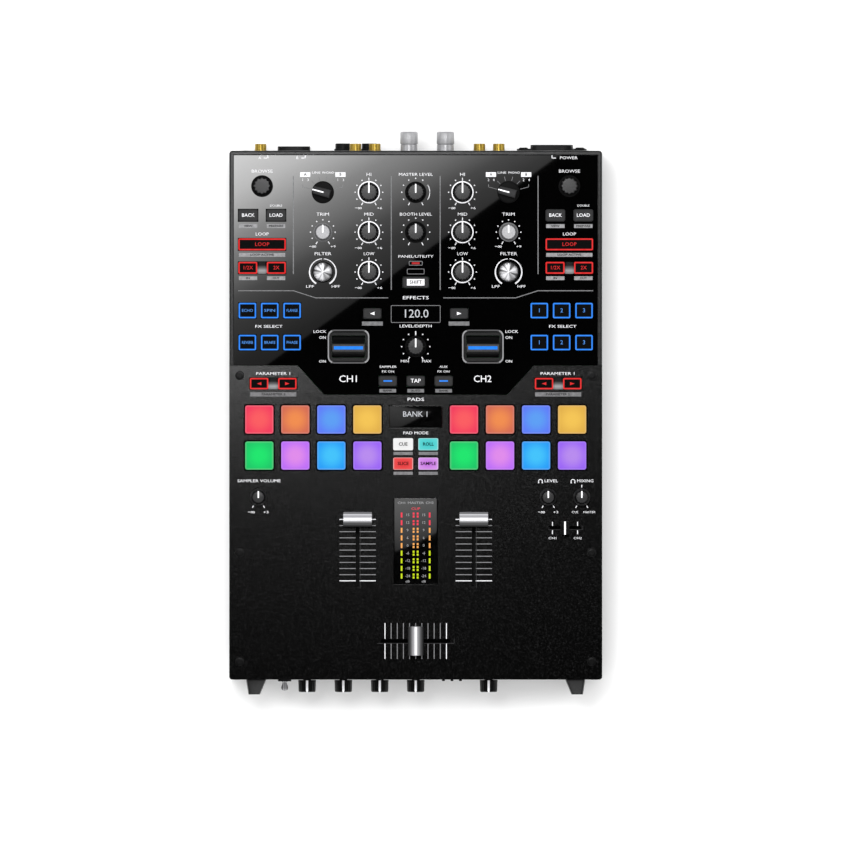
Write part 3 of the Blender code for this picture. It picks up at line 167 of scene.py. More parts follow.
def added(tree, kind, family="Shader", **settings):
    """A new node of a tree, with its inputs set or linked."""
    return fitted(tree, tree.nodes.new(f"{family}Node{kind}"), **settings)


def grey(level):
    """A faintly cool grey."""
    return (level, level, level * 1.03)


def graded(tree, factor, stops, curve="LINEAR"):
    """The colour of a ramp with stops of (place, colour), a bare level being a grey."""
    ramp = added(tree, "ValToRGB", Fac=factor)
    ramp.color_ramp.interpolation = curve
    elements = ramp.color_ramp.elements
    for number, (place, colour) in enumerate(stops):
        element = elements[number] if number < 2 else elements.new(place)
        element.position = place
        element.color = (*(colour if isinstance(colour, tuple) else grey(colour)), 1)
    return ramp.outputs["Color"]


def along_line(tree, place, start, turn, long, sweep="LINEAR"):
    """How far a place lies from a start along a turned line of that length."""
    line = added(tree, "Mapping", vector_type="TEXTURE", Vector=place, Location=start,
                 Rotation=turn, Scale=long)
    return added(tree, "TexGradient", gradient_type=sweep, Vector=line.outputs["Vector"]).outputs["Fac"]


def card(name, outline, start, turn, fall, steps, power=1):
    """A glowing card that shows in mirrors alone, and fades along a line."""
    glow, tree, shader = new_finish(f"{name}_glow")
    tree.nodes.remove(shader)
    place = added(tree, "TexCoord").outputs["Object"]
    down = along_line(tree, place, (*start, 0), (0, 0, radians(turn)), (fall, fall, 1))
    colour = graded(tree, down, [(at, (level, level, level)) for at, level in steps])
    light = added(tree, "Emission", Color=colour, Strength=power)
    fitted(tree, tree.nodes["Material Output"], Surface=light.outputs["Emission"])
    sheet = staged(name, [(x, y, PANEL_TOP + CARD_UP) for x, y in outline], glow)
    sheet.visible_camera = sheet.visible_diffuse = sheet.visible_shadow = False


edge_start, edge_end = (Vector(card_place(*point)) for point in CARD_EDGE)
edge_run = (edge_start - edge_end).normalized()
edge_start, edge_end = edge_start + edge_run * CARD_ENDS, edge_end - edge_run * CARD_ENDS
inwards = Vector((-edge_run.y, edge_run.x)) * CARD_DEEP
card_outline = (edge_start, edge_start + inwards, edge_end + inwards, edge_end)
card_fall = CARD_FALL * CARD_SPREAD
card("card", card_outline, card_place(*CARD_CORNER), CARD_TURN, card_fall, CARD_STEPS, CARD_POWER)
for name, outline, fall, bright, faint in WINDOW_CARDS:
    places = [card_place(*point) for point in outline]
    card(name, places, places[0], WINDOW_TURN, fall, ((0, bright), (1, faint)))

# The base tray is folded steel with a fine powder coat and rubber feet.
# It carries the front and rear plates, which screw to its ends.
FOOT_TOP = 0.0089
COAT_ROUGH, GRAIN_DETAIL, GRAIN_SPAN, RELIEF = 0.016, 4, 0.3, 0.6
GRAIN_LOW, GRAIN_HIGH, ROUGH_SWING = 0.3, 0.7, 0.15
WELD, FLAT, BEVEL_FROM = 1e-6, 0.005, 35


def grained(name, dark, light, rough, grain, bump=0, metallic=0, coat=0, sheen=0.5, start=0.36):
    """A finish whose colour, roughness and surface vary with a grain of that size in metres."""
    finish, tree, shader = new_finish(
        name, Metallic=metallic, Coat_Weight=coat, Coat_Roughness=COAT_ROUGH, Specular_IOR_Level=sheen)
    place = added(tree, "TexCoord").outputs["Object"]
    noise = added(tree, "TexNoise", Vector=place, Scale=1 / grain, Detail=GRAIN_DETAIL).outputs["Fac"]
    colour = graded(tree, noise, ((start, dark), (start + GRAIN_SPAN, light)))
    spread = added(tree, "MapRange", Value=noise, From_Min=GRAIN_LOW, From_Max=GRAIN_HIGH,
                   To_Min=rough * (1 - ROUGH_SWING), To_Max=min(rough * (1 + ROUGH_SWING), 1))
    fitted(tree, shader, Base_Color=colour, Roughness=spread.outputs["Result"])
    if bump:
        relief = added(tree, "Bump", Strength=RELIEF, Distance=bump, Height=noise)
        fitted(tree, shader, Normal=relief.outputs["Normal"])
    return finish


def settle(name, mesh, finishes, slot, body, *nodes):
    """Makes a mesh a finished piece on a body, in place of any CAD nodes that are named."""
    for finish in finishes:
        mesh.materials.append(finish)
    piece = bpy.data.objects.new(name, mesh)
    scene.collection.objects.link(piece)
    if nodes:
        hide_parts(*nodes)
    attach(piece, body)
    return piece


def eased(node, slot, finishes, edge=0.0003, steps=2, chooser=None):
    """A welded copy of a CAD solid with its sharp edges rounded over, in place of the solid."""
    source = frame["nodes"][node]
    mesh = source.data.copy()
    mesh.materials.clear()
    shape = bmesh.new()
    shape.from_mesh(mesh)
    bmesh.ops.remove_doubles(shape, verts=shape.verts, dist=WELD)
    bmesh.ops.dissolve_limit(shape, angle_limit=FLAT, verts=shape.verts, edges=shape.edges)
    for face in shape.faces:
        face.smooth = True
        face.material_index = chooser(face.calc_center_median()) if chooser else 0
    shape.to_mesh(mesh)
    shape.free()
    piece = settle(f"{node}_dressed", mesh, finishes, slot, source["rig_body"], node)
    bevel = piece.modifiers.new("eased_edges", "BEVEL")
    bevel.width, bevel.segments = edge, steps
    bevel.limit_method, bevel.angle_limit = "ANGLE", radians(BEVEL_FROM)
    flats = piece.modifiers.new("flat_faces", "WEIGHTED_NORMAL")
    flats.mode, flats.weight = "FACE_AREA", 100


case_paint = grained("case_paint", 0.005, 0.012, 0.4, 0.0006, bump=0.00003, sheen=0.28)
foot_rubber = grained("foot_rubber", 0.012, 0.022, 0.75, 0.0004, bump=0.00002)
eased("base_tray", "black_steel", [case_paint, foot_rubber], chooser=lambda middle: int(middle.z < FOOT_TOP))

# The upper frame is a pressed steel rim that holds the gloss panel on three sides.
# Its corners are rounded, and it has a coat of satin black paint.
rim_paint = grained("rim_paint", 0.009, 0.017, 0.22, 0.0012, sheen=0.2)
eased("upper_frame", "black_steel", [rim_paint], edge=0.0004, steps=3)

# The gloss panel is a black acrylic sheet, polished until it mirrors what is over it.
# It is cut for the keys and controls, and bonded to the steel below.


def recoat(node, finish):
    """Gives another finish to a CAD solid that shows as it is."""
    materials = frame["nodes"][node].data.materials
    materials.clear()
    materials.append(finish)


recoat("gloss_panel", grained("gloss_lacquer", 0.0002, 0.0009, 0.016, 0.0005))

# The lower plate is steel with a sandy powder coat, screwed down along both sides.
# Its coat sparkles slightly, because the grains stand proud.
recoat("lower_plate", grained("plate_coat", 0, 0.011, 0.155, 0.0012, bump=0.00002, sheen=0.8, start=0.56))

# The circuit boards hang from the panels, the control board green and the fader board black.
# The crossfader's own body is steel coloured near black, as painted shade, so its slot shows dark.
board_mask = grained("board_mask", (0.01, 0.055, 0.022), (0.02, 0.09, 0.036), 0.5, 0.004, bump=0.00002)
recoat("control_board", board_mask)
recoat("fader_board", grained("fader_mask", 0.003, 0.007, 0.5, 0.003, bump=0.00002, sheen=0.1))
recoat("crossfader_unit", grained("fader_steel", 0.002, 0.005, 0.45, 0.0007, sheen=0.1))

# The tone knobs are moulded in black with sixteen flutes and press onto steel shafts.
# A white ring runs round the skirt, and a white line is inlaid from the middle to the ring.
MM = 0.001
SIDES = (("left", -1), ("right", 1))
SHAFT, SHAFT_UP = 3, 0.6
TONE_FLUTES, LINE_WIDE, LINE_SUNK, LINE_PROUD, LINE_SIDE = 16, 0.95, 0.4, 0.06, 0.45
SKIRT_SUNK, SKIRT_PROUD = 0.2, 0.1
TONE_STATIONS = (
    (7.6, 0.6), (8, 0.9), (8, 1.8, 0, 1), (7.8, 2.1, 0, 1), (7.15, 2.15), (6.9, 1.7), (6.55, 1.7),
    (6.5, 2.6, 0.5), (6.1, 15.2, 0.5), (5.9, 16, 0.5), (5.55, 16.4, 0.45, 2), (4.9, 16.45, 0, 2),
    (0, 16.35),
)


def joined(shape, rings, finish=0):
    """Adds the faces between rings of corners that follow each other, and returns them."""
    faces = []
    for lower, upper in zip(rings, rings[1:]):
        for step in range(len(lower)):
            corners = dict.fromkeys((lower[step - 1], lower[step], upper[step], upper[step - 1]))
            faces.append(shape.faces.new(list(corners)))
            faces[-1].material_index = finish
    return faces


def skin(shape, rings, finish=0, capped=True):
    """Adds a solid by its rings of points, capped at both ends or closed to a loop."""
    corners = [[shape.verts.new(point) for point in ring] for ring in rings]
    if not capped:
        return joined(shape, corners + corners[:1], finish)
    caps = [shape.faces.new(corners[0]), shape.faces.new(corners[-1])]
    for cap in caps:
        cap.material_index = finish
    return caps + joined(shape, corners, finish)


def turn_up(shape, stations, place, sides=96, lobes=0, finish=0):
    """Adds a turned body by (radius, height, flute depth, finish) in millimetres, the last two if any."""
    rings = []
    stations = [(*station, *(0, finish)[len(station) - 2:]) for station in stations]
    for radius, height, flute, _ in stations:
        ring = []
        for step in range(sides if radius else 1):
            angle = 2 * pi * step / sides
            reach = radius - flute * (0.5 - 0.5 * cos(lobes * angle))
            spot = Vector((reach * sin(angle), reach * cos(angle), height))
            ring.append(shape.verts.new(place @ (spot * MM)))
        rings.append(ring if radius else ring * sides)
    for station, lower, upper in zip(stations, rings, rings[1:]):
        joined(shape, (lower, upper), station[3])


def slab(shape, place, low, high, finish=0):
    """Adds a rectangular block between two corners, in millimetres."""
    flat = ((low[0], low[1]), (high[0], low[1]), (high[0], high[1]), (low[0], high[1]))
    skin(shape, [[place @ (Vector((x, y, z)) * MM) for x, y in flat] for z in (low[2], high[2])], finish)


def made(name, shape, finishes, slot, body="chassis", *nodes, sharp=40):
    """Turns a bmesh into a finished piece, in place of any CAD nodes that are named."""
    bmesh.ops.recalc_face_normals(shape, faces=shape.faces)
    for face in shape.faces:
        face.smooth = True
    mesh = bpy.data.meshes.new(name)
    shape.to_mesh(mesh)
    shape.free()
    mesh.set_sharp_from_angle(angle=radians(sharp))
    settle(name, mesh, finishes, slot, body, *nodes)


def on_shaft(node, stations, lobes=0, turn=0):
    """A turned body with its shaft, and its place on the panel."""
    low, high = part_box(node)
    middle, foot = (low + high) / 2, (low.z - PANEL_TOP) / MM
    place = Matrix.Translation((middle.x, middle.y, PANEL_TOP)) @ Matrix.Rotation(turn, 4, "Z")
    shape = bmesh.new()
    turn_up(shape, ((0, foot), (SHAFT, foot), (SHAFT, SHAFT_UP), *stations), place, lobes=lobes)
    return shape, place


def pointer(shape, place, reach, top, width=LINE_WIDE, drop=0, skirt=0):
    """Adds the inlaid line of a knob: along the top, and down the side and out over a skirt."""
    half = width / 2
    slab(shape, place, (-half, -half, top - LINE_SUNK), (half, reach, top + LINE_PROUD), 1)
    if skirt:
        slab(shape, place, (-half, reach - LINE_SUNK, drop), (half, reach + LINE_SIDE, top), 1)
        slab(shape, place, (-half, reach, drop - SKIRT_SUNK), (half, skirt, drop + SKIRT_PROUD), 1)


def knobs(nodes, finishes, slot, stations, lobes, *line):
    """Knobs on their shafts, with the reach, top, width, drop and skirt of their line, if any."""
    for node in nodes:
        shape, place = on_shaft(node, stations, lobes)
        if line:
            pointer(shape, place, *line)
        made(f"{node}_dressed", shape, finishes, slot, node, node)


knob_black = grained("knob_black", 0.002, 0.005, 0.45, 0.0005, bump=0.00002, sheen=0.05)
knob_face = grained("knob_face", 0.014, 0.025, 0.32, 0.0006, bump=0.00003, sheen=0.22)
white_inlay = grained("white_inlay", 0.78, 0.86, 0.45, 0.002, sheen=0.08)
knob_finishes = [knob_black, white_inlay, knob_face]
tone_knobs = [f"{tone}_knob_{side}" for side, _ in SIDES for tone in ("high", "mid", "low")]
tone_line = (5.9, 16.4, LINE_WIDE, 2.1, 7.9)
knobs(tone_knobs, knob_finishes, "black_plastic", TONE_STATIONS, TONE_FLUTES, *tone_line)

# The level knobs are black mouldings like the tone knobs, with a plain black skirt.
# They set the two outputs and the depth of the effects.
LEVEL_STATIONS = (
    (7.3, 0.6), (7.7, 1), (7.7, 1.8), (7.3, 2.3), (6.5, 2.5), (6.4, 3, 0.5), (6, 15.2, 0.5),
    (5.8, 16, 0.5), (5.45, 16.4, 0.45, 2), (4.8, 16.45, 0, 2), (0, 16.35),
)
level_knobs = ("master_level_knob", "booth_level_knob", "effect_depth_knob")
knobs(level_knobs, knob_finishes, "black_plastic", LEVEL_STATIONS, TONE_FLUTES, 5.8, 16.4)

# The browse encoders are black and push-turn, so they carry no line.
# Twelve deep flutes grip the finger, above a collar that stands free of the panel.
BROWSE_FLUTES = 12
BROWSE_STATIONS = (
    (7.4, 0.6), (7.8, 1), (7.8, 2.2), (7.4, 2.6), (6.5, 2.7), (6.3, 3.2, 0.8), (6.1, 14.6, 0.8),
    (5.9, 15.5, 0.8), (5.6, 15.9, 0.75, 1), (4.5, 15.95, 0, 1), (0, 15.85),
)
browse_knobs = ("browse_knob_left", "browse_knob_right")
knobs(browse_knobs, [knob_black, knob_face], "black_plastic", BROWSE_STATIONS, BROWSE_FLUTES)

# The trim knobs are moulded in light grey, so that the eye finds them apart from the others.
# The skirt and flutes are a darker grey than the cap.
TRIM_STATIONS = (
    (6.6, 0.6), (6.9, 1), (6.9, 2), (6.7, 2.3), (6, 2.4), (5.85, 3, 0.4), (5.4, 13.8, 0.4),
    (5.2, 14.5, 0.35), (4.75, 14.9, 0.1, 2), (4.5, 14.95, 0, 2), (0, 14.9),
)
trim_skirt = grained("trim_skirt", 0.1, 0.14, 0.5, 0.0006, bump=0.00002, sheen=0.1)
trim_cap = grained("trim_cap", 0.25, 0.33, 0.45, 0.0008, bump=0.00002, sheen=0.1)
trim_knobs, trim_finishes = ("trim_knob_left", "trim_knob_right"), [trim_skirt, white_inlay, trim_cap]
knobs(trim_knobs, trim_finishes, "light_grey_plastic", TRIM_STATIONS, TONE_FLUTES, 5.1, 14.9)

# The filter knobs have a spun metal cap with a scalloped edge on a black skirt. Bright and dark rays round
# the middle of the cap are painted highlight and shade, standing in for the glints of its spun grain.
RAY_TURN, RAY_COUNT = (0, 0, radians(20)), 9
FILTER_STATIONS = (
    (7.2, 0.6), (7.6, 1), (7.6, 1.9), (7.3, 2.3), (6.7, 2.4, 0, 2), (6.7, 3.2, 0.6, 2), (6.4, 15.6, 0.6, 2),
    (6.2, 16.3, 0.55, 2), (5.6, 16.7, 0.3, 2), (4.6, 16.85, 0, 2), (0, 16.95),
)


def spun_metal_painted_glints(name, centre):
    """Metal turned on a lathe, with painted highlight: rays of lighter and darker grey round a centre stand
    in for the glints of its turning.
    """
    finish, tree, shader = new_finish(name, Metallic=0.25, Roughness=0.4, Specular_IOR_Level=0.15)
    place = added(tree, "TexCoord").outputs["Object"]
    sweep = along_line(tree, place, centre, RAY_TURN, (1, 1, 1), "RADIAL")
    rays = added(tree, "TexNoise", noise_dimensions="1D", W=sweep, Scale=RAY_COUNT, Detail=1)
    fitted(tree, shader, Base_Color=graded(tree, rays.outputs["Fac"], ((0.38, 0.06), (0.6, 0.5))))
    return finish


for side, _ in SIDES:
    node = f"filter_knob_{side}"
    knob, place = on_shaft(node, FILTER_STATIONS, TONE_FLUTES)
    pointer(knob, place, 6, 16.9, 0.8)
    cap_metal = spun_metal_painted_glints(f"spun_cap_{side}", place.translation)
    made(f"{node}_dressed", knob, [knob_black, white_inlay, cap_metal], "silver_plastic", node, node)

# The input selectors are black discs with a raised bar to turn them by.
# They stop at six positions, and the white line on the bar shows which.
SELECTOR_TURN = radians(75)
SELECTOR_STATIONS = ((7.7, 0.6), (8, 0.9), (8, 2.8), (7.6, 3.4), (6.8, 3.6), (0, 3.5))
GRIP_RINGS = ((7.6, 2.4, 3.2), (7.5, 2.35, 12.9), (7.2, 2.1, 13.6), (6.6, 1.6, 14))
GRIP_OUTLINE = ((-1.25, -0.72), (1.25, -0.72), (1.1, 0.9), (0.5, 1), (-0.5, 1), (-1.1, 0.9))
SELECTOR_LINES = (((-0.45, -0.5, 13.7), (0.45, 6.5, 14.05)), ((-0.45, 6.4, 3.3), (0.45, 7.7, 13.9)))
selector_bar = grained("selector_bar", 0.02, 0.032, 0.48, 0.0006, bump=0.00002, sheen=0.07)
for node in ("input_selector_left", "input_selector_right"):
    knob, place = on_shaft(node, SELECTOR_STATIONS, turn=SELECTOR_TURN)
    skin(knob, [
        [place @ (Vector((x * half, y * reach, height)) * MM) for x, y in GRIP_OUTLINE]
        for reach, half, height in GRIP_RINGS
    ], 2)
    for low, high in SELECTOR_LINES:
        slab(knob, place, low, high, 1)
    made(f"{node}_dressed", knob, [knob_black, white_inlay, selector_bar], "black_plastic", node, node)

# The small knobs of the lower plate are black mouldings with a wide foot and a ribbed tip.
# They set the sampler's level and the headphones' level and mix.
SMALL_FLUTES = 14
SMALL_STATIONS = (
    (6, 0.6), (6.3, 1), (6.2, 2, 0, 2), (5, 4.2), (4.85, 5, 0.45), (4.6, 11.9, 0.45),
    (4.4, 12.5, 0.4), (4, 12.85, 0.1, 2), (3.8, 12.9, 0, 2), (0, 12.85),
)
small_knobs = ("sampler_level_knob", "phones_level_knob", "phones_mix_knob")
knobs(small_knobs, knob_finishes, "black_plastic", SMALL_STATIONS, SMALL_FLUTES, 4.3, 12.9, 0.9)

# The deck keys are caps on one flexible moulding: two grey navigation keys, a loop key and
# a halving and doubling key. Light guides round the last two glow red, like their legends.
KEY_FACE, KEY_EDGE = PANEL_TOP + 0.002, 0.00025
DECK_X, NAV_Y, LOOP_Y, HALF_Y = 0.11, 0.1415, 0.1207, 0.1039
LOOP_W, LOOP_D, HALF_W, HALF_SHIFT, NAV_SHIFT = 0.0342, 0.0087, 0.0138, 0.0102, 0.01
NAV_FRONT, SADDLE_HALF, SADDLE_REACH = NAV_Y - 0.006, 0.0032, 0.004
FORWARDS = (0, 0, -pi / 2)
SADDLE_SHADE_STEPS = ((0.3, 0.004), (0.52, 0.07), (0.72, 0.2), (0.95, 0.12))
GUIDE_LINE, GUIDE_DEEP, GUIDE_PROUD, GUIDE_GAP = 0.0011, 0.0007, 0.00006, 0.0002
GUIDE_CORNER, GUIDE_INNER = 0.001, 0.0003
CAPITAL_SHARE, TYPE_THICK, LOOP_CAPITALS, NAV_CAPITALS = 0.73, 0.00003, 0.0027, 0.0026
GLOW_BODY, GLOW_LIFT, GLOW_GRAIN, PAINT_GRAIN = 0.04, 0.4, 350, 1200


def lit(name, colour, strength=1, ripple=0.06):
    """Light shining through moulded plastic, a little uneven."""
    body = tuple(level * GLOW_BODY for level in colour)
    dark = tuple(level * (1 - ripple) for level in colour)
    light = tuple(min(level + ripple * GLOW_LIFT, 1) for level in colour)
    finish, tree, shader = new_finish(
        name, Base_Color=(*body, 1), Roughness=0.5, Specular_IOR_Level=0.06, Emission_Strength=strength)
    place = added(tree, "TexCoord").outputs["Object"]
    noise = added(tree, "TexNoise", Vector=place, Scale=GLOW_GRAIN).outputs["Fac"]
    fitted(tree, shader, Emission_Color=graded(tree, noise, ((GRAIN_LOW, dark), (GRAIN_HIGH, light))))
    return finish


def painted_light_ramp(name, start, turn, long, steps, metallic=0):
    """Painted light and shade: grey that changes from one level to the next along a line, with steps of
    (place, level).
    """
    finish, tree, shader = new_finish(name, Metallic=metallic, Specular_IOR_Level=0.1)
    place = added(tree, "TexCoord").outputs["Object"]
    colour = graded(tree, along_line(tree, place, start, turn, (long, long, long)), steps)
    noise = added(tree, "TexNoise", Vector=place, Scale=PAINT_GRAIN).outputs["Fac"]
    spread = added(tree, "MapRange", Value=noise, To_Min=0.38, To_Max=0.52)
    fitted(tree, shader, Base_Color=colour, Roughness=spread.outputs["Result"])
    return finish


def rounded(x, y, wide, deep, corner, steps=4):
    """Outline of a rectangle with round corners, as flat points in metres."""
    points = []
    for number, (sx, sy) in enumerate(((1, 1), (-1, 1), (-1, -1), (1, -1))):
        for step in range(steps + 1):
            angle = pi / 2 * (number + step / steps)
            points.append((
                x + sx * (wide / 2 - corner) + corner * cos(angle),
                y + sy * (deep / 2 - corner) + corner * sin(angle),
            ))
    return points


def band(shape, outer, inner, low, high):
    """Adds a closed frame between two outlines that have as many points."""
    edges = ((outer, low), (outer, high), (inner, high), (inner, low))
    skin(shape, [[(x, y, z) for x, y in outline] for outline, z in edges], capped=False)


def light_guide(shape, x, y, wide, deep):
    """Adds the glowing frame round the top of a key."""
    outer = rounded(x, y, wide - GUIDE_GAP, deep - GUIDE_GAP, GUIDE_CORNER)
    inner = rounded(x, y, wide - 2 * GUIDE_LINE, deep - 2 * GUIDE_LINE, GUIDE_INNER)
    band(shape, outer, inner, KEY_FACE - GUIDE_DEEP, KEY_FACE + GUIDE_PROUD)


def lettered(shape, words, x, y, tall, z, finish=0, spread=1, wide=None, weight=0, turn=Matrix()):
    """Adds printed characters, centred on a place, with capitals of that height in metres."""
    text = bpy.data.curves.new("characters", "FONT")
    text.body, text.size, text.extrude, text.offset = words, tall / CAPITAL_SHARE, TYPE_THICK, weight
    text.align_x = text.align_y = "CENTER"
    text.resolution_u, text.space_character = 2, spread
    holder = bpy.data.objects.new("characters", text)
    scene.collection.objects.link(holder)
    mesh = bpy.data.meshes.new_from_object(holder.evaluated_get(bpy.context.evaluated_depsgraph_get()))
    reach = [vertex.co.x for vertex in mesh.vertices]
    squeeze = wide / (max(reach) - min(reach)) if wide else 1
    mesh.transform(turn @ Matrix.Translation((x, y, z)) @ Matrix.Diagonal((squeeze, 1, 1, 1)))
    before = len(shape.faces)
    shape.from_mesh(mesh)
    shape.faces.ensure_lookup_table()
    for face in shape.faces[before:]:
        face.material_index = finish
    bpy.data.objects.remove(holder)
    bpy.data.meshes.remove(mesh)
    bpy.data.curves.remove(text)


def deck_finish(middle):
    """Grey for the navigation keys, and black with a saddle of painted shade for the others."""
    if middle.y > NAV_FRONT:
        return 0
    beside = abs(abs(middle.x) - DECK_X) < SADDLE_HALF and abs(middle.y - HALF_Y) < SADDLE_REACH
    return 2 if beside and middle.z > PANEL_TOP else 1


key_grey = grained("key_grey", 0.016, 0.025, 0.5, 0.0005, bump=0.00002, sheen=0.1)
key_black = grained("key_black", 0.0008, 0.0024, 0.42, 0.0005, sheen=0.02)
red_light = lit("red_light", (0.8, 0.018, 0.018))
legend_white = grained("legend_white", 0.66, 0.78, 0.5, 0.002, sheen=0.08)
# The saddle between the halving and doubling keys is painted dark at its rear and paler to the front: painted
# shade for its dip.
deck_saddle = painted_light_ramp("deck_saddle", (0, HALF_Y + LOOP_D / 2, 0), FORWARDS, LOOP_D, SADDLE_SHADE_STEPS)
for side, sign in SIDES:
    node, x = f"deck_keypad_{side}", sign * DECK_X
    eased(node, "grey_plastic", [key_grey, key_black, deck_saddle], KEY_EDGE, chooser=deck_finish)
    legends = bmesh.new()
    light_guide(legends, x, LOOP_Y, LOOP_W, LOOP_D)
    lettered(legends, "LOOP", x, LOOP_Y, LOOP_CAPITALS, KEY_FACE, spread=1.1)
    for words, step in (("1/2X", -1), ("2X", 1)):
        light_guide(legends, x + step * HALF_SHIFT, HALF_Y, HALF_W, LOOP_D)
        lettered(legends, words, x + step * HALF_SHIFT, HALF_Y, LOOP_CAPITALS, KEY_FACE)
    for words, step in (("BACK", -1), ("LOAD", 1)):
        lettered(legends, words, x + step * NAV_SHIFT, NAV_Y, NAV_CAPITALS, KEY_FACE, 1)
    made(f"deck_legends_{side}", legends, [red_light, legend_white], "grey_plastic", node)

# The effect keys are six black caps a side, each in a blue light guide.
# Their legends are cut through the black paint, so they glow as well.
EFFECT_X, EFFECT_STEP, EFFECT_ROWS, EFFECT_W, EFFECT_D = 0.1045, 0.016, (0.0733, 0.0504), 0.0127, 0.0112
WORD_TYPE, NUMBER_TYPE = (0.0021, 0.0078), (0.003, None)
EFFECT_WORDS = {
    "left": ("ECHO", "SPIN", "FLANGE", "REVERB", "BRAKE", "PHASE"),
    "right": ("1", "2", "3", "1", "2", "3"),
}
blue_light = lit("blue_light", (0.022, 0.25, 0.98))
legend_blue = lit("legend_blue", (0.09, 0.34, 0.95))
for side, sign in SIDES:
    node = f"effect_keypad_{side}"
    eased(node, "black_plastic", [key_black], KEY_EDGE)
    legends = bmesh.new()
    places = [(sign * EFFECT_X + column * EFFECT_STEP, y) for y in EFFECT_ROWS for column in (-1, 0, 1)]
    for (x, y), words in zip(places, EFFECT_WORDS[side]):
        light_guide(legends, x, y, EFFECT_W, EFFECT_D)
        tall, wide = WORD_TYPE if len(words) > 2 else NUMBER_TYPE
        lettered(legends, words, x, y, tall, KEY_FACE, 1, wide=wide)
    made(f"effect_legends_{side}", legends, [blue_light, legend_blue], "black_plastic", node)

# The centre keys share a moulding under the gloss panel: shift, two arrows and three taps.
# Shift has a white label, and the outer taps have a small blue lamp.
SHIFT_Y, ARROW_X, ARROW_Y, TAP_X, TAP_Y = 0.09355, 0.0311, 0.0712, 0.02, 0.0229
ARROW_LONG, ARROW_TALL, ARROW_SUNK, ARROW_PROUD = 0.0032, 0.0024, 0.0001, 0.00005
SHIFT_LABEL, TAP_LAMP, LABEL_UP = (0.0125, 0.0046), (0.0062, 0.0011), KEY_FACE + 0.00006
SHIFT_CAPITALS, SHIFT_WEIGHT, TAP_CAPITALS, PATCH_SUNK = 0.0026, 0.00008, 0.003, 0.1


def arrow(shape, x, y, step, tall):
    """Adds a printed arrowhead that points along x, or backwards."""
    long = step * ARROW_LONG
    outline = ((x - long / 2, y - tall / 2), (x + long / 2, y), (x - long / 2, y + tall / 2))
    ends = (KEY_FACE - ARROW_SUNK, KEY_FACE + ARROW_PROUD)
    skin(shape, [[(px, py, z) for px, py in outline] for z in ends])


def patch(shape, x, y, wide, deep, face, finish=0, proud=0.05):
    """Adds a flat printed block, in metres, that stands proud by millimetres."""
    half = (wide / MM / 2, deep / MM / 2)
    slab(shape, Matrix.Translation((x, y, face)), (-half[0], -half[1], -PATCH_SUNK), (*half, proud), finish)


eased("centre_keypad", "grey_plastic", [key_grey], KEY_EDGE)
legends = bmesh.new()
patch(legends, 0, SHIFT_Y, *SHIFT_LABEL, KEY_FACE)
lettered(legends, "SHIFT", 0, SHIFT_Y, SHIFT_CAPITALS, LABEL_UP, 2, weight=SHIFT_WEIGHT)
for step in (-1, 1):
    arrow(legends, step * ARROW_X, ARROW_Y, step, ARROW_TALL)
    patch(legends, step * TAP_X, TAP_Y, *TAP_LAMP, KEY_FACE, 1)
lettered(legends, "TAP", 0, TAP_Y, TAP_CAPITALS, KEY_FACE)
made("centre_legends", legends, [legend_white, blue_light, key_black], "grey_plastic", "centre_keypad")

# The parameter keys are two ends of one rocker in the lower plate, each in a red guide.
# A grey saddle between them shows that they tip together. It is painted dark at its rear and paler to the
# front, as painted shade for its dip.
PARAMETER_X, PARAMETER_Y, PARAMETER_W, PARAMETER_D = 0.102, 0.021, 0.0134, 0.0083
PARAMETER_SHIFT, PARAMETER_ARROW = 0.0101, 0.0022
rocker_rear = (0, PARAMETER_Y + PARAMETER_D / 2, 0)
rocker_saddle = painted_light_ramp("rocker_saddle", rocker_rear, FORWARDS, PARAMETER_D, SADDLE_SHADE_STEPS)


def rocker_finish(middle):
    """The saddle of painted shade between two black ends."""
    return int(abs(abs(middle.x) - PARAMETER_X) < SADDLE_HALF and middle.z > PANEL_TOP)


for side, sign in SIDES:
    node = f"parameter_rocker_{side}"
    eased(node, "grey_plastic", [key_black, rocker_saddle], KEY_EDGE, chooser=rocker_finish)
    legends = bmesh.new()
    for step in (-1, 1):
        x = sign * PARAMETER_X + step * PARAMETER_SHIFT
        light_guide(legends, x, PARAMETER_Y, PARAMETER_W, PARAMETER_D)
        arrow(legends, x, PARAMETER_Y, step, PARAMETER_ARROW)
    made(f"parameter_legends_{side}", legends, [red_light], "grey_plastic", node)

# The pads are clear silicone on one mat a side, each lit from below in its own colour.
# The light is strongest over the lamp in the middle, and catches the moulded rim.
WEB_THICK, ROLL_UP, CORNER_LEAST = 0.002, 0.00008, 0.0003
PAD_WIDE, PAD_HOLE, PAD_CORNER = 0.0202, 0.0211, 0.0016
PAD_PITCH, PAD_INNER, PAD_REAR = 0.0258, 0.0346, -0.0047
ROLLED_EDGE = ((0, -0.001), (0.00012, -0.0005), (0.00045, -0.00014), (0.001, 0), (0.0016, ROLL_UP))
PAD_GLOW, GLOW_REACH, RIM_FROM, RIM_TO, UNLIT_SHARE, DISPLAY_GAMMA = 0.86, 0.66, 0.66, 0.72, 0.95, 2.2
PALE, UNLIT = (0.9, 0.9, 0.9, 1), (0.006, 0.006, 0.006, 1)
PAD_LAMPS = (
    ("rose", (255, 90, 95), (246, 55, 92)), ("orange", (244, 140, 76), (214, 106, 82)),
    ("sky", (90, 158, 248), (92, 122, 252)), ("amber", (248, 198, 82), (228, 176, 72)),
    ("green", (0, 232, 108), (0, 200, 102)), ("violet", (226, 138, 238), (190, 108, 252)),
    ("azure", (62, 196, 255), (28, 156, 252)), ("purple", (184, 138, 242), (154, 98, 250)),
)


def hue(colour):
    """A lamp colour from its three parts, out of 255."""
    return tuple((level / 255) ** DISPLAY_GAMMA for level in colour)


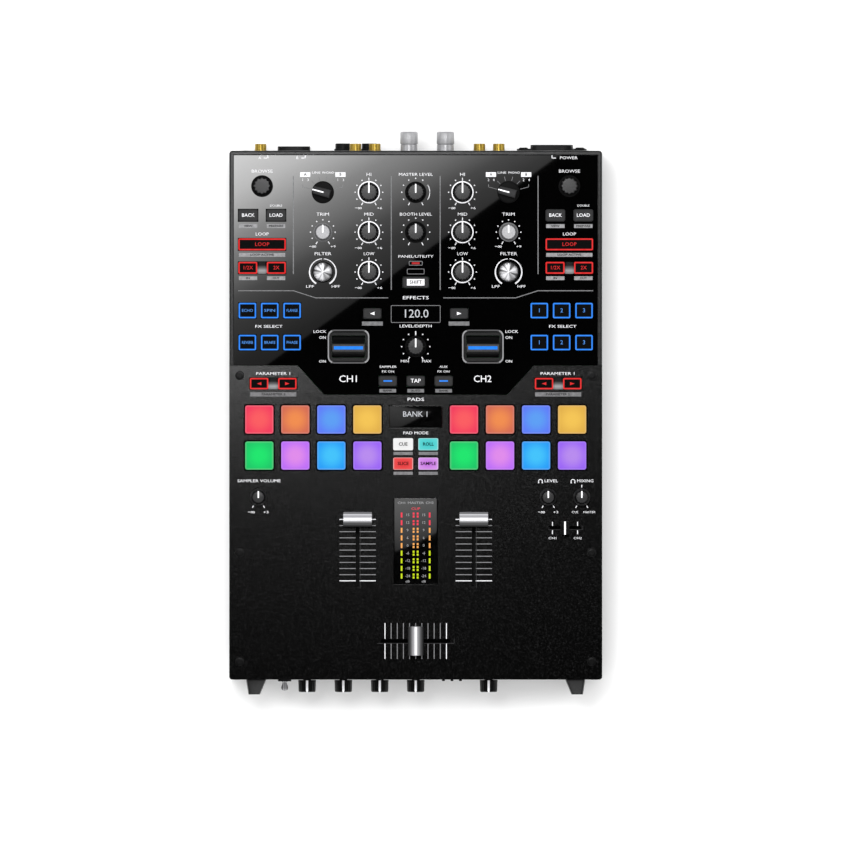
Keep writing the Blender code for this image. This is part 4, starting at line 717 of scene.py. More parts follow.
def backlit(name, middle, outer, haze=0.1):
    """Clear silicone lit from below, by the moulding's own flat map."""
    finish, tree, shader = new_finish(
        name, Roughness=0.55, Specular_IOR_Level=0.06, Emission_Strength=PAD_GLOW)
    flat = added(tree, "UVMap", uv_map="moulding").outputs["UV"]
    centred = added(tree, "Mapping", vector_type="TEXTURE", Vector=flat, Location=(0.5, 0.5, 0),
                    Scale=(GLOW_REACH, GLOW_REACH, 1)).outputs["Vector"]
    fall = added(tree, "TexGradient", gradient_type="SPHERICAL", Vector=centred).outputs["Fac"]
    glow = graded(tree, fall, ((0.05, hue(outer)), (0.85, hue(middle))), "EASE")
    square = added(tree, "VectorMath", operation="ABSOLUTE", Vector=centred)
    parts = added(tree, "SeparateXYZ", Vector=square.outputs["Vector"])
    widest = added(tree, "Math", operation="MAXIMUM")
    for number, axis in enumerate("XY"):
        tree.links.new(parts.outputs[axis], widest.inputs[number])
    rim = added(tree, "MapRange", Value=widest.outputs["Value"], From_Min=RIM_FROM, From_Max=RIM_TO,
                To_Max=haze).outputs["Result"]
    seen = added(tree, "Mix", data_type="RGBA", Factor=rim, A=glow, B=PALE).outputs["Result"]
    body = added(tree, "Mix", data_type="RGBA", Factor=UNLIT_SHARE, A=seen, B=UNLIT).outputs["Result"]
    fitted(tree, shader, Emission_Color=seen, Base_Color=body)
    return finish


def cushion(shape, x, y, wide, deep, low, high, corner, finish):
    """Adds one moulded key with a rolled edge, and its flat map."""
    flat_map = shape.loops.layers.uv.verify()
    rolled = [(0, low)] + [(inset, high + up) for inset, up in ROLLED_EDGE]
    faces = skin(shape, [
        [(px, py, z) for px, py in
         rounded(x, y, wide - 2 * inset, deep - 2 * inset, max(corner - inset, CORNER_LEAST))]
        for inset, z in rolled
    ], finish)
    for loop in [loop for face in faces for loop in face.loops]:
        spot = loop.vert.co
        loop[flat_map].uv = ((spot.x - x) / wide + 0.5, (spot.y - y) / deep + 0.5)


def moulding(name, node, places, wide, deep, corner, lamps, slot):
    """A mat with its keys, each lit by its own lamp."""
    low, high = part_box(node)
    web = low.z + WEB_THICK
    shape = bmesh.new()
    shape.loops.layers.uv.new("moulding")
    slab(shape, Matrix(), low / MM, (high.x / MM, high.y / MM, web / MM))
    for number, (x, y) in enumerate(places, 1):
        cushion(shape, x, y, wide, deep, web - WEB_THICK / 2, high.z - ROLL_UP, corner, number)
    made(name, shape, [mat_silicone, *lamps], slot, node, node, sharp=60)


# The mat is coloured near black, as painted shade in the gaps round the pads.
mat_silicone = grained("mat_silicone", 0.003, 0.006, 0.6, 0.001, sheen=0.06)
pad_lamps = [backlit(f"pad_{name}", middle, outer) for name, middle, outer in PAD_LAMPS]
pad_places = []
for side, sign in SIDES:
    columns = sorted(sign * (PAD_INNER + step * PAD_PITCH) for step in range(4))
    places = [(x, PAD_REAR - row * PAD_PITCH) for row in range(2) for x in columns]
    moulding(f"pads_{side}", f"pad_mat_{side}", places, PAD_WIDE, PAD_WIDE, PAD_CORNER, pad_lamps,
             "pad_rubber")
    pad_places += places

# A near-black ring of painted shade lies round each pad hole, where the hole's edge is in shade. It stands a
# hair proud of the plate.
SHADE_RING_WIDE, SHADE_RING_DEEP, SHADE_RING_PROUD = 0.0012, 0.0004, 0.00004
hole_shade = grained("hole_shade", 0.0006, 0.0016, 0.6, 0.001, sheen=0.03)
shade_ring_mesh = bmesh.new()
for x, y in pad_places:
    inner_edge = rounded(x, y, PAD_HOLE, PAD_HOLE, PAD_CORNER + 0.0003)
    outer_edge = rounded(x, y, PAD_HOLE + SHADE_RING_WIDE, PAD_HOLE + SHADE_RING_WIDE, PAD_CORNER + 0.0009)
    band(shade_ring_mesh, outer_edge, inner_edge, PANEL_TOP - SHADE_RING_DEEP, PANEL_TOP + SHADE_RING_PROUD)
made("pad_hole_edges", shade_ring_mesh, [hole_shade], "black_steel")

# The four mode keys between the pads are the same silicone, each fully lit.
# Their legends are printed in black on the lit tops.
MODE_X, MODE_ROWS, MODE_W, MODE_D, MODE_CORNER = 0.009, (-0.0224, -0.0363), 0.0143, 0.0087, 0.001
MODE_CAPITALS, MODE_WEIGHT, MODE_PROUD, MODE_HAZE = 0.0024, 0.00007, 0.00003, 0.4
MODE_LAMPS = (
    ("white", (240, 240, 240), (252, 252, 252)), ("turquoise", (70, 205, 205), (95, 220, 218)),
    ("red", (232, 58, 62), (245, 80, 80)), ("lilac", (202, 122, 230), (220, 150, 240)),
)
mode_places = [(step * MODE_X, y) for y in MODE_ROWS for step in (-1, 1)]
mode_lamps = [backlit(f"mode_{name}", middle, outer, MODE_HAZE) for name, middle, outer in MODE_LAMPS]
moulding("mode_keys", "pad_mode_keypad", mode_places, MODE_W, MODE_D, MODE_CORNER, mode_lamps, "grey_plastic")
legends = bmesh.new()
for (x, y), words in zip(mode_places, ("CUE", "ROLL", "SLICE", "SAMPLE")):
    lettered(legends, words, x, y, MODE_CAPITALS, KEY_FACE + MODE_PROUD, weight=MODE_WEIGHT)
made("mode_legends", legends, [key_black], "grey_plastic", "pad_mode_keypad")

# The meter and pad windows are smoked acrylic, let into the lower plate.
# Lamps behind the meter show as nine rows in four columns, with a printed scale between.
METER_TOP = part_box("meter_window")[1].z
METER_REAR, METER_PITCH, SCALE_X, LAMP_UP = -0.0731, 0.00546, (-0.0058, 0.0057), 0.0001
BAR_X, DOT_X, DOT_SHIFTS = (-0.0101, 0.01), (-0.0015, 0.0014), (-0.00105, 0.00105)
BAR_SIZE, DOT_SIZE = (0.0012, 0.0036, LAMP_UP), (0.0013, 0.0015, LAMP_UP)
SCALE_CAPITALS, HEAD_CAPITALS, CLIP_CAPITALS, CLIP_WIDE, CLIP_Y = 0.002, 0.0017, 0.0018, 0.0062, -0.0686
METER_SCALE = ("15", "12", "9", "6", "0", "-6", "-12", "-18", "-24")
METER_LAMPS = (
    ("red", (248, 62, 84), range(0, 2)), ("orange", (250, 172, 92), range(2, 5)),
    ("lime", (204, 226, 16), range(5, 9)),
)
METER_WORDS = (
    ("CH1", -0.01, -0.0644, 0.0053), ("MASTER", 0, -0.0644, 0.0114), ("CH2", 0.01, -0.0644, 0.0056),
    ("dB", SCALE_X[0], -0.1207, 0.003), ("dB", SCALE_X[1], -0.1207, 0.003),
)


def repeat_tree():
    """Node tree that puts a master solid on every point, turned as the point says."""
    tree = bpy.data.node_groups.new("repeat", "GeometryNodeTree")
    for label, kind in (("Points", "Geometry"), ("Master", "Object"), ("Finish", "Material")):
        tree.interface.new_socket(label, in_out="INPUT", socket_type=f"NodeSocket{kind}")
    tree.interface.new_socket("Solids", in_out="OUTPUT", socket_type="NodeSocketGeometry")
    given = tree.nodes.new("NodeGroupInput").outputs
    solid = added(tree, "ObjectInfo", "Geometry", Object=given["Master"])
    turn = added(tree, "InputNamedAttribute", "Geometry", data_type="FLOAT_VECTOR", Name="turn")
    rotation = added(tree, "EulerToRotation", "Function", Euler=turn.outputs["Attribute"])
    spread = added(tree, "InstanceOnPoints", "Geometry", Points=given["Points"],
                   Instance=solid.outputs["Geometry"], Rotation=rotation.outputs["Rotation"])
    real = added(tree, "RealizeInstances", "Geometry", Geometry=spread.outputs["Instances"])
    coat = added(tree, "SetMaterial", "Geometry", Geometry=real.outputs["Geometry"], Material=given["Finish"])
    fitted(tree, tree.nodes.new("NodeGroupOutput"), Solids=coat.outputs["Geometry"])
    return tree


solid_repeat = repeat_tree()


def repeated(name, places, shape, finish, slot):
    """A solid at each place (x, y, z, turn), made one plain mesh on the chassis."""
    meshes = [bpy.data.meshes.new(f"{name}_{part}") for part in ("points", "master")]
    holder, master = (bpy.data.objects.new(mesh.name, mesh) for mesh in meshes)
    bmesh.ops.recalc_face_normals(shape, faces=shape.faces)
    shape.to_mesh(master.data)
    shape.free()
    holder.data.from_pydata([place[:3] for place in places], [], [])
    turns = holder.data.attributes.new("turn", "FLOAT_VECTOR", "POINT")
    for spot, (_, _, _, *turn) in zip(turns.data, places):
        spot.vector = turn[0] if turn else (0, 0, 0)
    scene.collection.objects.link(holder)
    maker = holder.modifiers.new("repeat", "NODES")
    maker.node_group = solid_repeat
    for socket in solid_repeat.interface.items_tree:
        if socket.name in ("Master", "Finish"):
            maker[socket.identifier] = master if socket.name == "Master" else finish
    mesh = bpy.data.meshes.new_from_object(holder.evaluated_get(bpy.context.evaluated_depsgraph_get()))
    mesh.name = name
    holder.modifiers.clear()
    for mesh_used in meshes:
        bpy.data.meshes.remove(mesh_used)
    settle(name, mesh, (), slot, "chassis")


def block(wide, deep, tall):
    """A rectangular block about its middle, in metres."""
    shape = bmesh.new()
    half = Vector((wide, deep, tall)) / MM / 2
    slab(shape, Matrix(), -half, half)
    return shape


smoked = grained("smoked", 0.0006, 0.0016, 0.016, 0.003, coat=1, sheen=1)
for node in ("meter_window", "pad_display"):
    eased(node, "smoked_window", [smoked], edge=0.00015)
meter_lamps = {name: lit(f"lamp_{name}", hue(colour)) for name, colour, _ in METER_LAMPS}
for name, _, rows in METER_LAMPS:
    rows = [METER_REAR - row * METER_PITCH for row in rows]
    bars = [(x, y, METER_TOP) for y in rows for x in BAR_X]
    dots = [(x, y + up, METER_TOP) for y in rows for x in DOT_X for up in DOT_SHIFTS]
    repeated(f"meter_bars_{name}", bars, block(*BAR_SIZE), meter_lamps[name], "smoked_window")
    repeated(f"meter_dots_{name}", dots, block(*DOT_SIZE), meter_lamps[name], "smoked_window")
scale = bmesh.new()
for row, words in enumerate(METER_SCALE):
    for x in SCALE_X:
        lettered(scale, words, x, METER_REAR - row * METER_PITCH, SCALE_CAPITALS, METER_TOP)
for words, x, y, wide in METER_WORDS:
    lettered(scale, words, x, y, HEAD_CAPITALS, METER_TOP, wide=wide)
lettered(scale, "CLIP", 0, CLIP_Y, CLIP_CAPITALS, METER_TOP, 1, wide=CLIP_WIDE)
scale_grey = grained("scale_grey", 0.2, 0.26, 0.5, 0.002, sheen=0.08)
made("meter_scale", scale, [scale_grey, meter_lamps["red"]], "smoked_window")

# The fader caps are silver mouldings with hollow flanks, pressed onto the sliders' blades. Bands of painted
# highlight and painted shade run across the silver caps, darkest at the foot, and a white line along the
# crest shows the setting.
ALONG_X, CAP_METAL, CHROME_METAL = (0, 0, 0), 0.1, 0.3
FADER_CAP_LIGHT_STEPS = (
    (0, 0.12), (0.13, 0.16), (0.16, 0.62), (0.2, 0.62), (0.23, 0.4), (0.47, 0.48), (0.53, 0.46), (0.7, 0.3),
    (0.74, 0.11), (0.82, 0.09), (0.92, 0.025), (1, 0.007),
)
CROSS_CAP_LIGHT_STEPS = (
    (0, 0.008), (0.1, 0.03), (0.2, 0.09), (0.3, 0.34), (0.5, 0.36), (0.7, 0.3), (0.8, 0.1), (0.9, 0.03),
    (1, 0.006),
)
line_white = grained("line_white", 0.82, 0.92, 0.45, 0.002, sheen=0.08)


def slider(node, finish, slot, line_name, wide, deep, edge=0.0004, steps=3):
    """A slider's cap, with the white line across its crest in millimetres."""
    eased(node, slot, [finish], edge, steps)
    low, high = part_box(node)
    line = bmesh.new()
    place = Matrix.Translation(((low.x + high.x) / 2, (low.y + high.y) / 2, high.z))
    slab(line, place, (-wide / 2, -deep / 2, -0.3), (wide / 2, deep / 2, LINE_PROUD))
    made(line_name, line, [line_white], slot, node)


for side, _ in SIDES:
    node = f"channel_fader_{side}"
    low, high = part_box(node)
    cap_silver_painted_light = painted_light_ramp(
        f"cap_silver_{side}", (0, high.y, 0), FORWARDS, high.y - low.y, FADER_CAP_LIGHT_STEPS, CAP_METAL)
    slider(node, cap_silver_painted_light, "silver_plastic", f"fader_line_{side}", 19.8, 0.9)
low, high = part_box("crossfader")
cross_silver = painted_light_ramp(
    "cross_silver", (low.x, 0, 0), ALONG_X, high.x - low.x, CROSS_CAP_LIGHT_STEPS, CAP_METAL)
slider("crossfader", cross_silver, "silver_plastic", "crossfader_line", 1, 20)
cap_black = grained("cap_black", 0.004, 0.009, 0.4, 0.0006, sheen=0.15)
slider("cue_slider", cap_black, "black_plastic", "cue_line", 1.1, 9.3, 0.0003, 2)

# The effect paddles are black blades on half drums that swing in chrome bezels.
# A blue light bar runs along the tip of each blade, in a grey strip.
BEZEL_RIM, BEZEL_UP, UPWARDS = 0.0017, 0.003, (0, -pi / 2, 0)
SIDE_LIGHT_STEPS = ((0, 0.01), (0.4, 0.05), (0.5, 0.36), (0.74, 0.34), (0.86, 0.02), (1, 0.006))
END_SHADE_STEPS = tuple((at, level * 0.35) for at, level in SIDE_LIGHT_STEPS)
TIP_DEEP, TIP_TOP = 0.0016, 0.0002
BAR_HALF_LONG, BAR_HALF_DEEP = 10.4, 1.15
paddle_black = grained("paddle_black", 0.004, 0.009, 0.38, 0.0006, sheen=0.15)
paddle_strip = grained("paddle_strip", 0.034, 0.05, 0.5, 0.001, sheen=0.08)
bar_light = lit("bar_light", (0.008, 0.24, 1))
# The bezels' chrome is painted with a bright band part way up, as painted reflection, and its front and rear
# runs are painted darker, as painted shade.
chrome_side, chrome_end = (
    painted_light_ramp(name, (0, 0, PANEL_TOP), UPWARDS, BEZEL_UP, steps, CHROME_METAL)
    for name, steps in (("chrome_side", SIDE_LIGHT_STEPS), ("chrome_end", END_SHADE_STEPS))
)
for side, _ in SIDES:
    bezel, node = f"paddle_bezel_{side}", f"effect_paddle_{side}"
    low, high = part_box(bezel)

    def bezel_finish(middle, low=low, high=high):
        """Chrome outside and on top, its ends with darker painted shade, and black inside and below."""
        from_side = min(middle.x - low.x, high.x - middle.x)
        inside = from_side > BEZEL_RIM and min(middle.y - low.y, high.y - middle.y) > BEZEL_RIM
        return 2 if inside or middle.z < PANEL_TOP else int(from_side > 2 * BEZEL_RIM)

    eased(bezel, "chrome", [chrome_side, chrome_end, paddle_black], steps=3, chooser=bezel_finish)
    low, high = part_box(node)
    eased(node, "black_plastic", [paddle_black, paddle_strip],
          chooser=lambda middle, strip_low=high.z - TIP_DEEP: int(middle.z > strip_low))
    tip = [vertex.co.y for vertex in frame["nodes"][node].data.vertices if vertex.co.z > high.z - TIP_TOP]
    place = Matrix.Translation(((low.x + high.x) / 2, sum(tip) / len(tip), high.z))
    bar = bmesh.new()
    for bottom, top in ((-0.1, 0.08), (-0.6, -0.05)):
        slab(bar, place, (-BAR_HALF_LONG, -BAR_HALF_DEEP, bottom), (BAR_HALF_LONG, BAR_HALF_DEEP, top))
    made(f"paddle_bar_{side}", bar, [bar_light], "black_plastic", node)

# The front plate is steel with two moulded guards that keep knocks off its knobs.
# Its pots, toggle and headphone sockets are fixed to it from behind.
FRONT_Y, FRONT_Z, GUARD_FROM = -0.1909, 0.05, 0.1
FRONT_FLUTES, NUT_FLUTES, FRONT_SHAFT, TOGGLE_TILT = 20, 24, 2.9, radians(11)
FRONT_STATIONS = (
    (FRONT_SHAFT, 0.6), (6.1, 0.6), (6.42, 0.9), (6.42, 1.8), (6.3, 2.2, 0.3), (6.12, 8.4, 0.3),
    (5.7, 9.1, 0.15), (5.2, 9.28), (0, 9.28),
)
FRONT_LINES = (((-0.8, 5.4, 0.9), (0.8, 6.46, 8.7)), ((-0.55, 0.8, 8.6), (0.55, 5.9, 9.33)))
TOGGLE_STATIONS = (
    (0, -2.8), (1.4, -2.42), (2.42, -1.4), (2.8, 0), (2.42, 1.4), (1.5, 2.3), (1.45, 2.8), (2.45, 5.8),
    (2.4, 6.9), (2, 7.8), (1.2, 8.25), (0, 8.3),
)
TOGGLE_LIGHT_STEPS = ((0, 0.02), (0.22, 0.16), (0.36, 0.5), (0.5, 0.2), (0.66, 0.4), (0.84, 0.12), (1, 0.02))
HEADPHONE_SOCKETS = ((0.08, 3.35, 5.4), (0.096, 1.9, 3.6))


def front_place(x, tilt=0):
    """A place on the front plate, with its axis straight out of it or tilted."""
    return Matrix.Translation((x, FRONT_Y, FRONT_Z)) @ Matrix.Rotation(pi / 2 + tilt, 4, "X")


guard_plastic = grained("guard_plastic", 0.01, 0.017, 0.34, 0.0008, sheen=0.25)
eased("front_panel", "black_steel", [case_paint, guard_plastic], edge=0.0005, steps=3,
      chooser=lambda middle: int(middle.y < FRONT_Y - 0.0003 and abs(middle.x) > GUARD_FROM))
front_knob_black = grained("front_knob_black", 0.003, 0.007, 0.36, 0.0005, sheen=0.12)
front_knobs = {}
for number in range(1, 6):
    node = f"front_knob_{number}"
    low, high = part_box(node)
    front_knobs[node] = (low.x + high.x) / 2
    place, foot = front_place(front_knobs[node]), (FRONT_Y - high.y) / MM
    knob = bmesh.new()
    turn_up(knob, ((0, foot), (FRONT_SHAFT, foot), *FRONT_STATIONS), place, lobes=FRONT_FLUTES)
    for line_low, line_high in FRONT_LINES:
        slab(knob, place, line_low, line_high, 1)
    made(f"{node}_moulding", knob, [front_knob_black, line_white], "black_plastic", node, node)
# The toggle's bat is painted in stripes of highlight and shade across it, dark at its sides.
low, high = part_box("front_toggle")
bat_chrome = painted_light_ramp(
    "bat_chrome", (low.x, 0, 0), ALONG_X, high.x - low.x, TOGGLE_LIGHT_STEPS, CHROME_METAL)
toggle = bmesh.new()
turn_up(toggle, TOGGLE_STATIONS, front_place((low.x + high.x) / 2, TOGGLE_TILT), sides=40)
made("front_toggle_bat", toggle, [bat_chrome], "chrome", "front_toggle", "front_toggle")
eased("reverse_switches", "black_plastic", [front_knob_black], edge=0.0002)
socket_nuts = bmesh.new()
for x, bore, reach in HEADPHONE_SOCKETS:
    turn_up(socket_nuts, (
        (bore, 0.02), (bore, 0.2), (bore + 0.1, 0.3), (reach - 0.15, 0.3), (reach, 0.15, 0.12),
        (reach, 0.02, 0.12), (bore, 0.02),
    ), front_place(x), lobes=NUT_FLUTES)
bmesh.ops.remove_doubles(socket_nuts, verts=socket_nuts.verts, dist=WELD / 10)
chrome = grained("chrome", 0.46, 0.56, 0.28, 0.002, metallic=0.35, sheen=0.3)
made("headphone_nuts", socket_nuts, [chrome], "black_steel")

# The rear plate carries the sockets, and two knurled brass ground terminals, nickel plated.
# Line sockets have gold sleeves round coloured rings, and booth sockets black bushings.
REAR_Y, SOCKET_PITCH, BOARD_IN, SLEEVE_IN, SLEEVE_REACH = 0.1878, 0.014, 0.0355, 0.002, 0.0044
PORT_HALF_W, PORT_HALF_H = 0.0065, 0.006
LINE_SOCKETS = ((-0.1113, 0.046), (-0.0432, 0.06), (-0.0293, 0.06), (0.0457, 0.06), (0.0596, 0.06))
BOOTH_SOCKETS = ((-0.0524, 0.026), (-0.0334, 0.026))
PORTS = ((-0.106, 0.066), (-0.079, 0.066))
TERMINALS = ((-0.0048, 0.062), (0.0213, 0.062))
TERMINAL_STATIONS = (
    (0, 0.03), (6.04, 0.03), (6.04, 4.28), (5.4, 4.6), (5.4, 4.72), (6.05, 5.02), (6.3, 5.35, 0.1),
    (6.3, 12.9, 0.1), (6, 13.5, 0.05), (5.5, 13.92), (2.2, 13.92), (2, 13.6), (0, 13.6),
)
SLEEVE_STATIONS = (
    (3.3, 5.22), (4.02, 5.22), (4.12, 5.05), (4.12, 0.9), (4.35, 0.8), (4.35, 0.03), (3.3, 0.03), (3.3, 5.22),
)
RING_STATIONS = ((1.72, 5), (1.72, 5.27), (3.3, 5.27), (3.3, 5), (1.72, 5))
BUSHING_STATIONS = (
    (3.4, 5.2), (3.4, 5.75), (4.9, 5.75), (5.3, 5.4), (5.3, 1.9), (6.4, 1.8, 0.3), (6.4, 0.03, 0.3),
    (5.2, 0.03), (5.2, 5.2), (3.4, 5.2),
)
line_places = [(x, z - row * SOCKET_PITCH, row) for x, z in LINE_SOCKETS for row in range(2)]


def rear_place(x, z):
    """A place on the rear plate, with its axis straight out of it."""
    return Matrix.Translation((x, REAR_Y, z)) @ Matrix.Rotation(-pi / 2, 4, "X")


def socket_finish(middle):
    """Gold, black or steel outside the plate, and green board or black bodies inside."""
    from_line = min(hypot(middle.x - x, middle.z - z) for x, z, _ in line_places)
    if middle.y > REAR_Y - SLEEVE_IN and from_line < SLEEVE_REACH:
        return 0
    if any(abs(middle.x - x) < PORT_HALF_W and abs(middle.z - z) < PORT_HALF_H for x, z in PORTS):
        return 2
    return 3 if middle.y < REAR_Y - BOARD_IN else 1


nickel = grained("nickel", 0.3, 0.38, 0.34, 0.0006, metallic=0.35, sheen=0.3)
gold = grained("gold", (0.3, 0.2, 0.025), (0.42, 0.29, 0.045), 0.32, 0.0016, metallic=0.65)
socket_black = grained("socket_black", 0.003, 0.007, 0.42, 0.0006, bump=0.00001, sheen=0.12)
port_steel = grained("port_steel", 0.45, 0.52, 0.3, 0.0008, metallic=1)
ring_white = grained("ring_white", 0.6, 0.68, 0.45, 0.001)
ring_red = grained("ring_red", (0.42, 0.02, 0.018), (0.52, 0.03, 0.026), 0.45, 0.001)
eased("rear_panel", "black_steel", [case_paint, nickel],
      chooser=lambda middle: int(middle.y > REAR_Y + 0.0002))
eased("jack_board", "black_plastic", [gold, socket_black, port_steel, board_mask], chooser=socket_finish)
terminals = bmesh.new()
for x, z in TERMINALS:
    turn_up(terminals, TERMINAL_STATIONS, rear_place(x, z), sides=144, lobes=36)
made("ground_terminals", terminals, [nickel], "black_steel", sharp=30)
sleeves = bmesh.new()
for x, z, row in line_places:
    turn_up(sleeves, SLEEVE_STATIONS, rear_place(x, z), sides=48)
    turn_up(sleeves, RING_STATIONS, rear_place(x, z), sides=48, finish=1 + row)
for x, z in BOOTH_SOCKETS:
    turn_up(sleeves, BUSHING_STATIONS, rear_place(x, z), sides=48, lobes=6, finish=3)
bmesh.ops.remove_doubles(sleeves, verts=sleeves.verts, dist=WELD / 10)
made("socket_sleeves", sleeves, [gold, ring_white, ring_red, socket_black], "black_plastic", sharp=30)
for node, edge in (("mic_jack", 0.0005), ("power_supply", 0.0005), ("power_switch", 0.0004)):
    eased(node, "black_plastic", [socket_black], edge, 3)

# The marks round the controls are screen printed in white ink: dots, ticks and arcs.
# Selectors have six thin grey lines, one for each position, and the outer two are bent.
INK, INK_PROUD, FINE, DOT, DOT_SIDES = 0.00008, 0.04, 0.0004, 0.000475, 14
TONE_X, INPUT_X, ROWS, DEPTH_Y = 0.0335, 0.0665, (0.158, 0.12945, 0.1009), 0.0475
SMALL_Y, SMALL_X, STUB_OUT, STUB_UP = -0.0603, (-0.1126, 0.0949, 0.1189), 0.01435, 0.0047
ENDS, DOTS = (-150, 150), (-120, -90, -60, -30, 30, 60, 90, 120)


def clock(dials, reach, turns):
    """Places on dials, with their turns, from the radius and clock angles."""
    angles = [radians(turn) for turn in turns]
    return [
        (x + reach * sin(angle), y + reach * cos(angle), PANEL_TOP, (0, 0, -angle))
        for x, y in dials for angle in angles
    ]


def arc(shape, x, y, reach, start, end, thin=0.0005, thick=0.0005, steps=24):
    """Adds a printed arc between two clock angles, thickening towards its end."""
    rings = []
    for step in range(steps + 1):
        angle = radians(start + (end - start) * step / steps)
        half = (thin + (thick - thin) * step / steps) / 2
        corners = ((-half, -INK), (half, -INK), (half, INK / 2), (-half, INK / 2))
        rings.append([
            (x + (reach + side) * sin(angle), y + (reach + side) * cos(angle), PANEL_TOP + up)
            for side, up in corners
        ])
    skin(shape, rings)


print_white = grained("print_white", 0.56, 0.68, 0.55, 0.0015, sheen=0.08)
print_grey = grained("print_grey", 0.12, 0.16, 0.55, 0.0015, sheen=0.08)
tone_dials = [(sign * TONE_X, y) for _, sign in SIDES for y in ROWS]
level_dials, depth_dial = [(0, ROWS[0]), (0, ROWS[1])], [(0, DEPTH_Y)]
selector_dials, trim_dials, filter_dials = ([(sign * INPUT_X, y) for _, sign in SIDES] for y in ROWS)
small_dials = [(x, SMALL_Y) for x in SMALL_X]
dots = clock(tone_dials, 0.0099, DOTS) + clock(level_dials, 0.01, (*DOTS, 0))
dots += clock(depth_dial, 0.0101, DOTS) + clock(trim_dials, 0.0088, (*DOTS, 0))
dot = bmesh.new()
dot_angles = [2 * pi * step / DOT_SIDES for step in range(DOT_SIDES)]
dot_outline = [(DOT * cos(angle), DOT * sin(angle)) for angle in dot_angles]
skin(dot, [[(x, y, z) for x, y in dot_outline] for z in (-INK / 2, INK / 2)])
repeated("dial_dots", dots, dot, print_white, "gloss_black")
ticks = clock(tone_dials + level_dials + depth_dial, 0.0096, ENDS) + clock(tone_dials, 0.0094, (0,))
ticks += clock(trim_dials, 0.0088, ENDS)
small_ticks = clock(small_dials, 0.0079, ENDS) + clock(small_dials[2:], 0.0079, (0,))
selector_lines = clock(selector_dials, 0.01, (-45, -15, 15, 45))
selector_leaders = clock(selector_dials, 0.0117, (-75, 75))
stubs = [(x + side * STUB_OUT, y + STUB_UP, PANEL_TOP) for x, y in selector_dials for _, side in SIDES]
for name, places, wide, deep, finish, slot in (
    ("dial_ticks", ticks, 0.00065, 0.0021, print_white, "gloss_black"),
    ("small_dial_ticks", small_ticks, 0.0006, 0.0018, print_white, "black_steel"),
    ("depth_tick", clock(depth_dial, 0.0096, (0,)), 0.0007, 0.003, print_white, "gloss_black"),
    ("selector_lines", selector_lines, FINE, 0.003, print_grey, "gloss_black"),
    ("selector_leaders", selector_leaders, FINE, 0.0062, print_grey, "gloss_black"),
    ("selector_stubs", stubs, FINE, 0.002, print_grey, "gloss_black"),
):
    repeated(name, places, block(wide, deep, INK), finish, slot)
arcs = bmesh.new()
for x, y in filter_dials:
    for _, side in SIDES:
        arc(arcs, x, y, 0.0095, side * 4, side * 150, thick=0.0012)
arc(arcs, 0, ROWS[0], 0.0101, 58, 122)
made("dial_arcs", arcs, [print_white], "gloss_black")

# Rules between the channels and label bars in front of the keys are printed with the marks.
# The bars are pale blocks, dimmer on the lower keys.
RULE_HALF = 0.0003
RULE_ROUTE = ((0.127, 0.0875), (0.0875, 0.0875), (0.0716, 0.0824), (0.0197, 0.0824))
bar_pale = grained("bar_pale", 0.17, 0.24, 0.55, 0.002, sheen=0.08)
bar_dim = grained("bar_dim", 0.1, 0.15, 0.55, 0.002, sheen=0.08)


def printed_bars(name, wide, deep, finish, slot, columns, rows):
    """Printed blocks at columns and rows, on both sides of the middle."""
    places = dict.fromkeys((sign * x, y, PANEL_TOP) for _, sign in SIDES for x in columns for y in rows)
    repeated(name, list(places), block(wide, deep, INK), finish, slot)


printed_bars("outer_rules", 0.0007, 0.0703, print_grey, "gloss_black", (0.0876,), (0.13455,))
printed_bars("inner_rules", 0.0007, 0.0815, print_grey, "gloss_black", (0.0175,), (0.12895,))
rules = bmesh.new()
for _, sign in SIDES:
    corners = ((RULE_HALF, -INK), (RULE_HALF, INK / 2), (-RULE_HALF, INK / 2), (-RULE_HALF, -INK))
    skin(rules, [[(sign * x, y + side, PANEL_TOP + up) for side, up in corners] for x, y in RULE_ROUTE])
made("section_rules", rules, [print_grey], "gloss_black")
for bars in (
    ("nav_bars", 0.0132, 0.0027, bar_pale, "gloss_black", (DECK_X - 0.01, DECK_X + 0.01), (0.1338,)),
    ("loop_bars", 0.0331, 0.0027, bar_pale, "gloss_black", (DECK_X,), (0.1132,)),
    ("half_bars", 0.0131, 0.0027, bar_pale, "gloss_black", (DECK_X - 0.01005, DECK_X + 0.01005), (0.0965,)),
    ("arrow_bars", 0.0148, 0.0029, bar_dim, "gloss_black", (0.031,), (0.064,)),
    ("tap_bars", 0.0119, 0.0025, bar_dim, "gloss_black", (0, 0.02), (0.0159,)),
    ("parameter_bars", 0.033, 0.003, bar_dim, "black_steel", (PARAMETER_X,), (0.0133,)),
    ("mode_bars", 0.0137, 0.0022, bar_dim, "black_steel", (MODE_X,), (-0.029, -0.0432)),
    ("selector_labels", 0.0073, 0.0033, print_white, "gloss_black",
     (INPUT_X - 0.0126, INPUT_X + 0.0126), (0.1707,)),
):
    printed_bars(*bars)

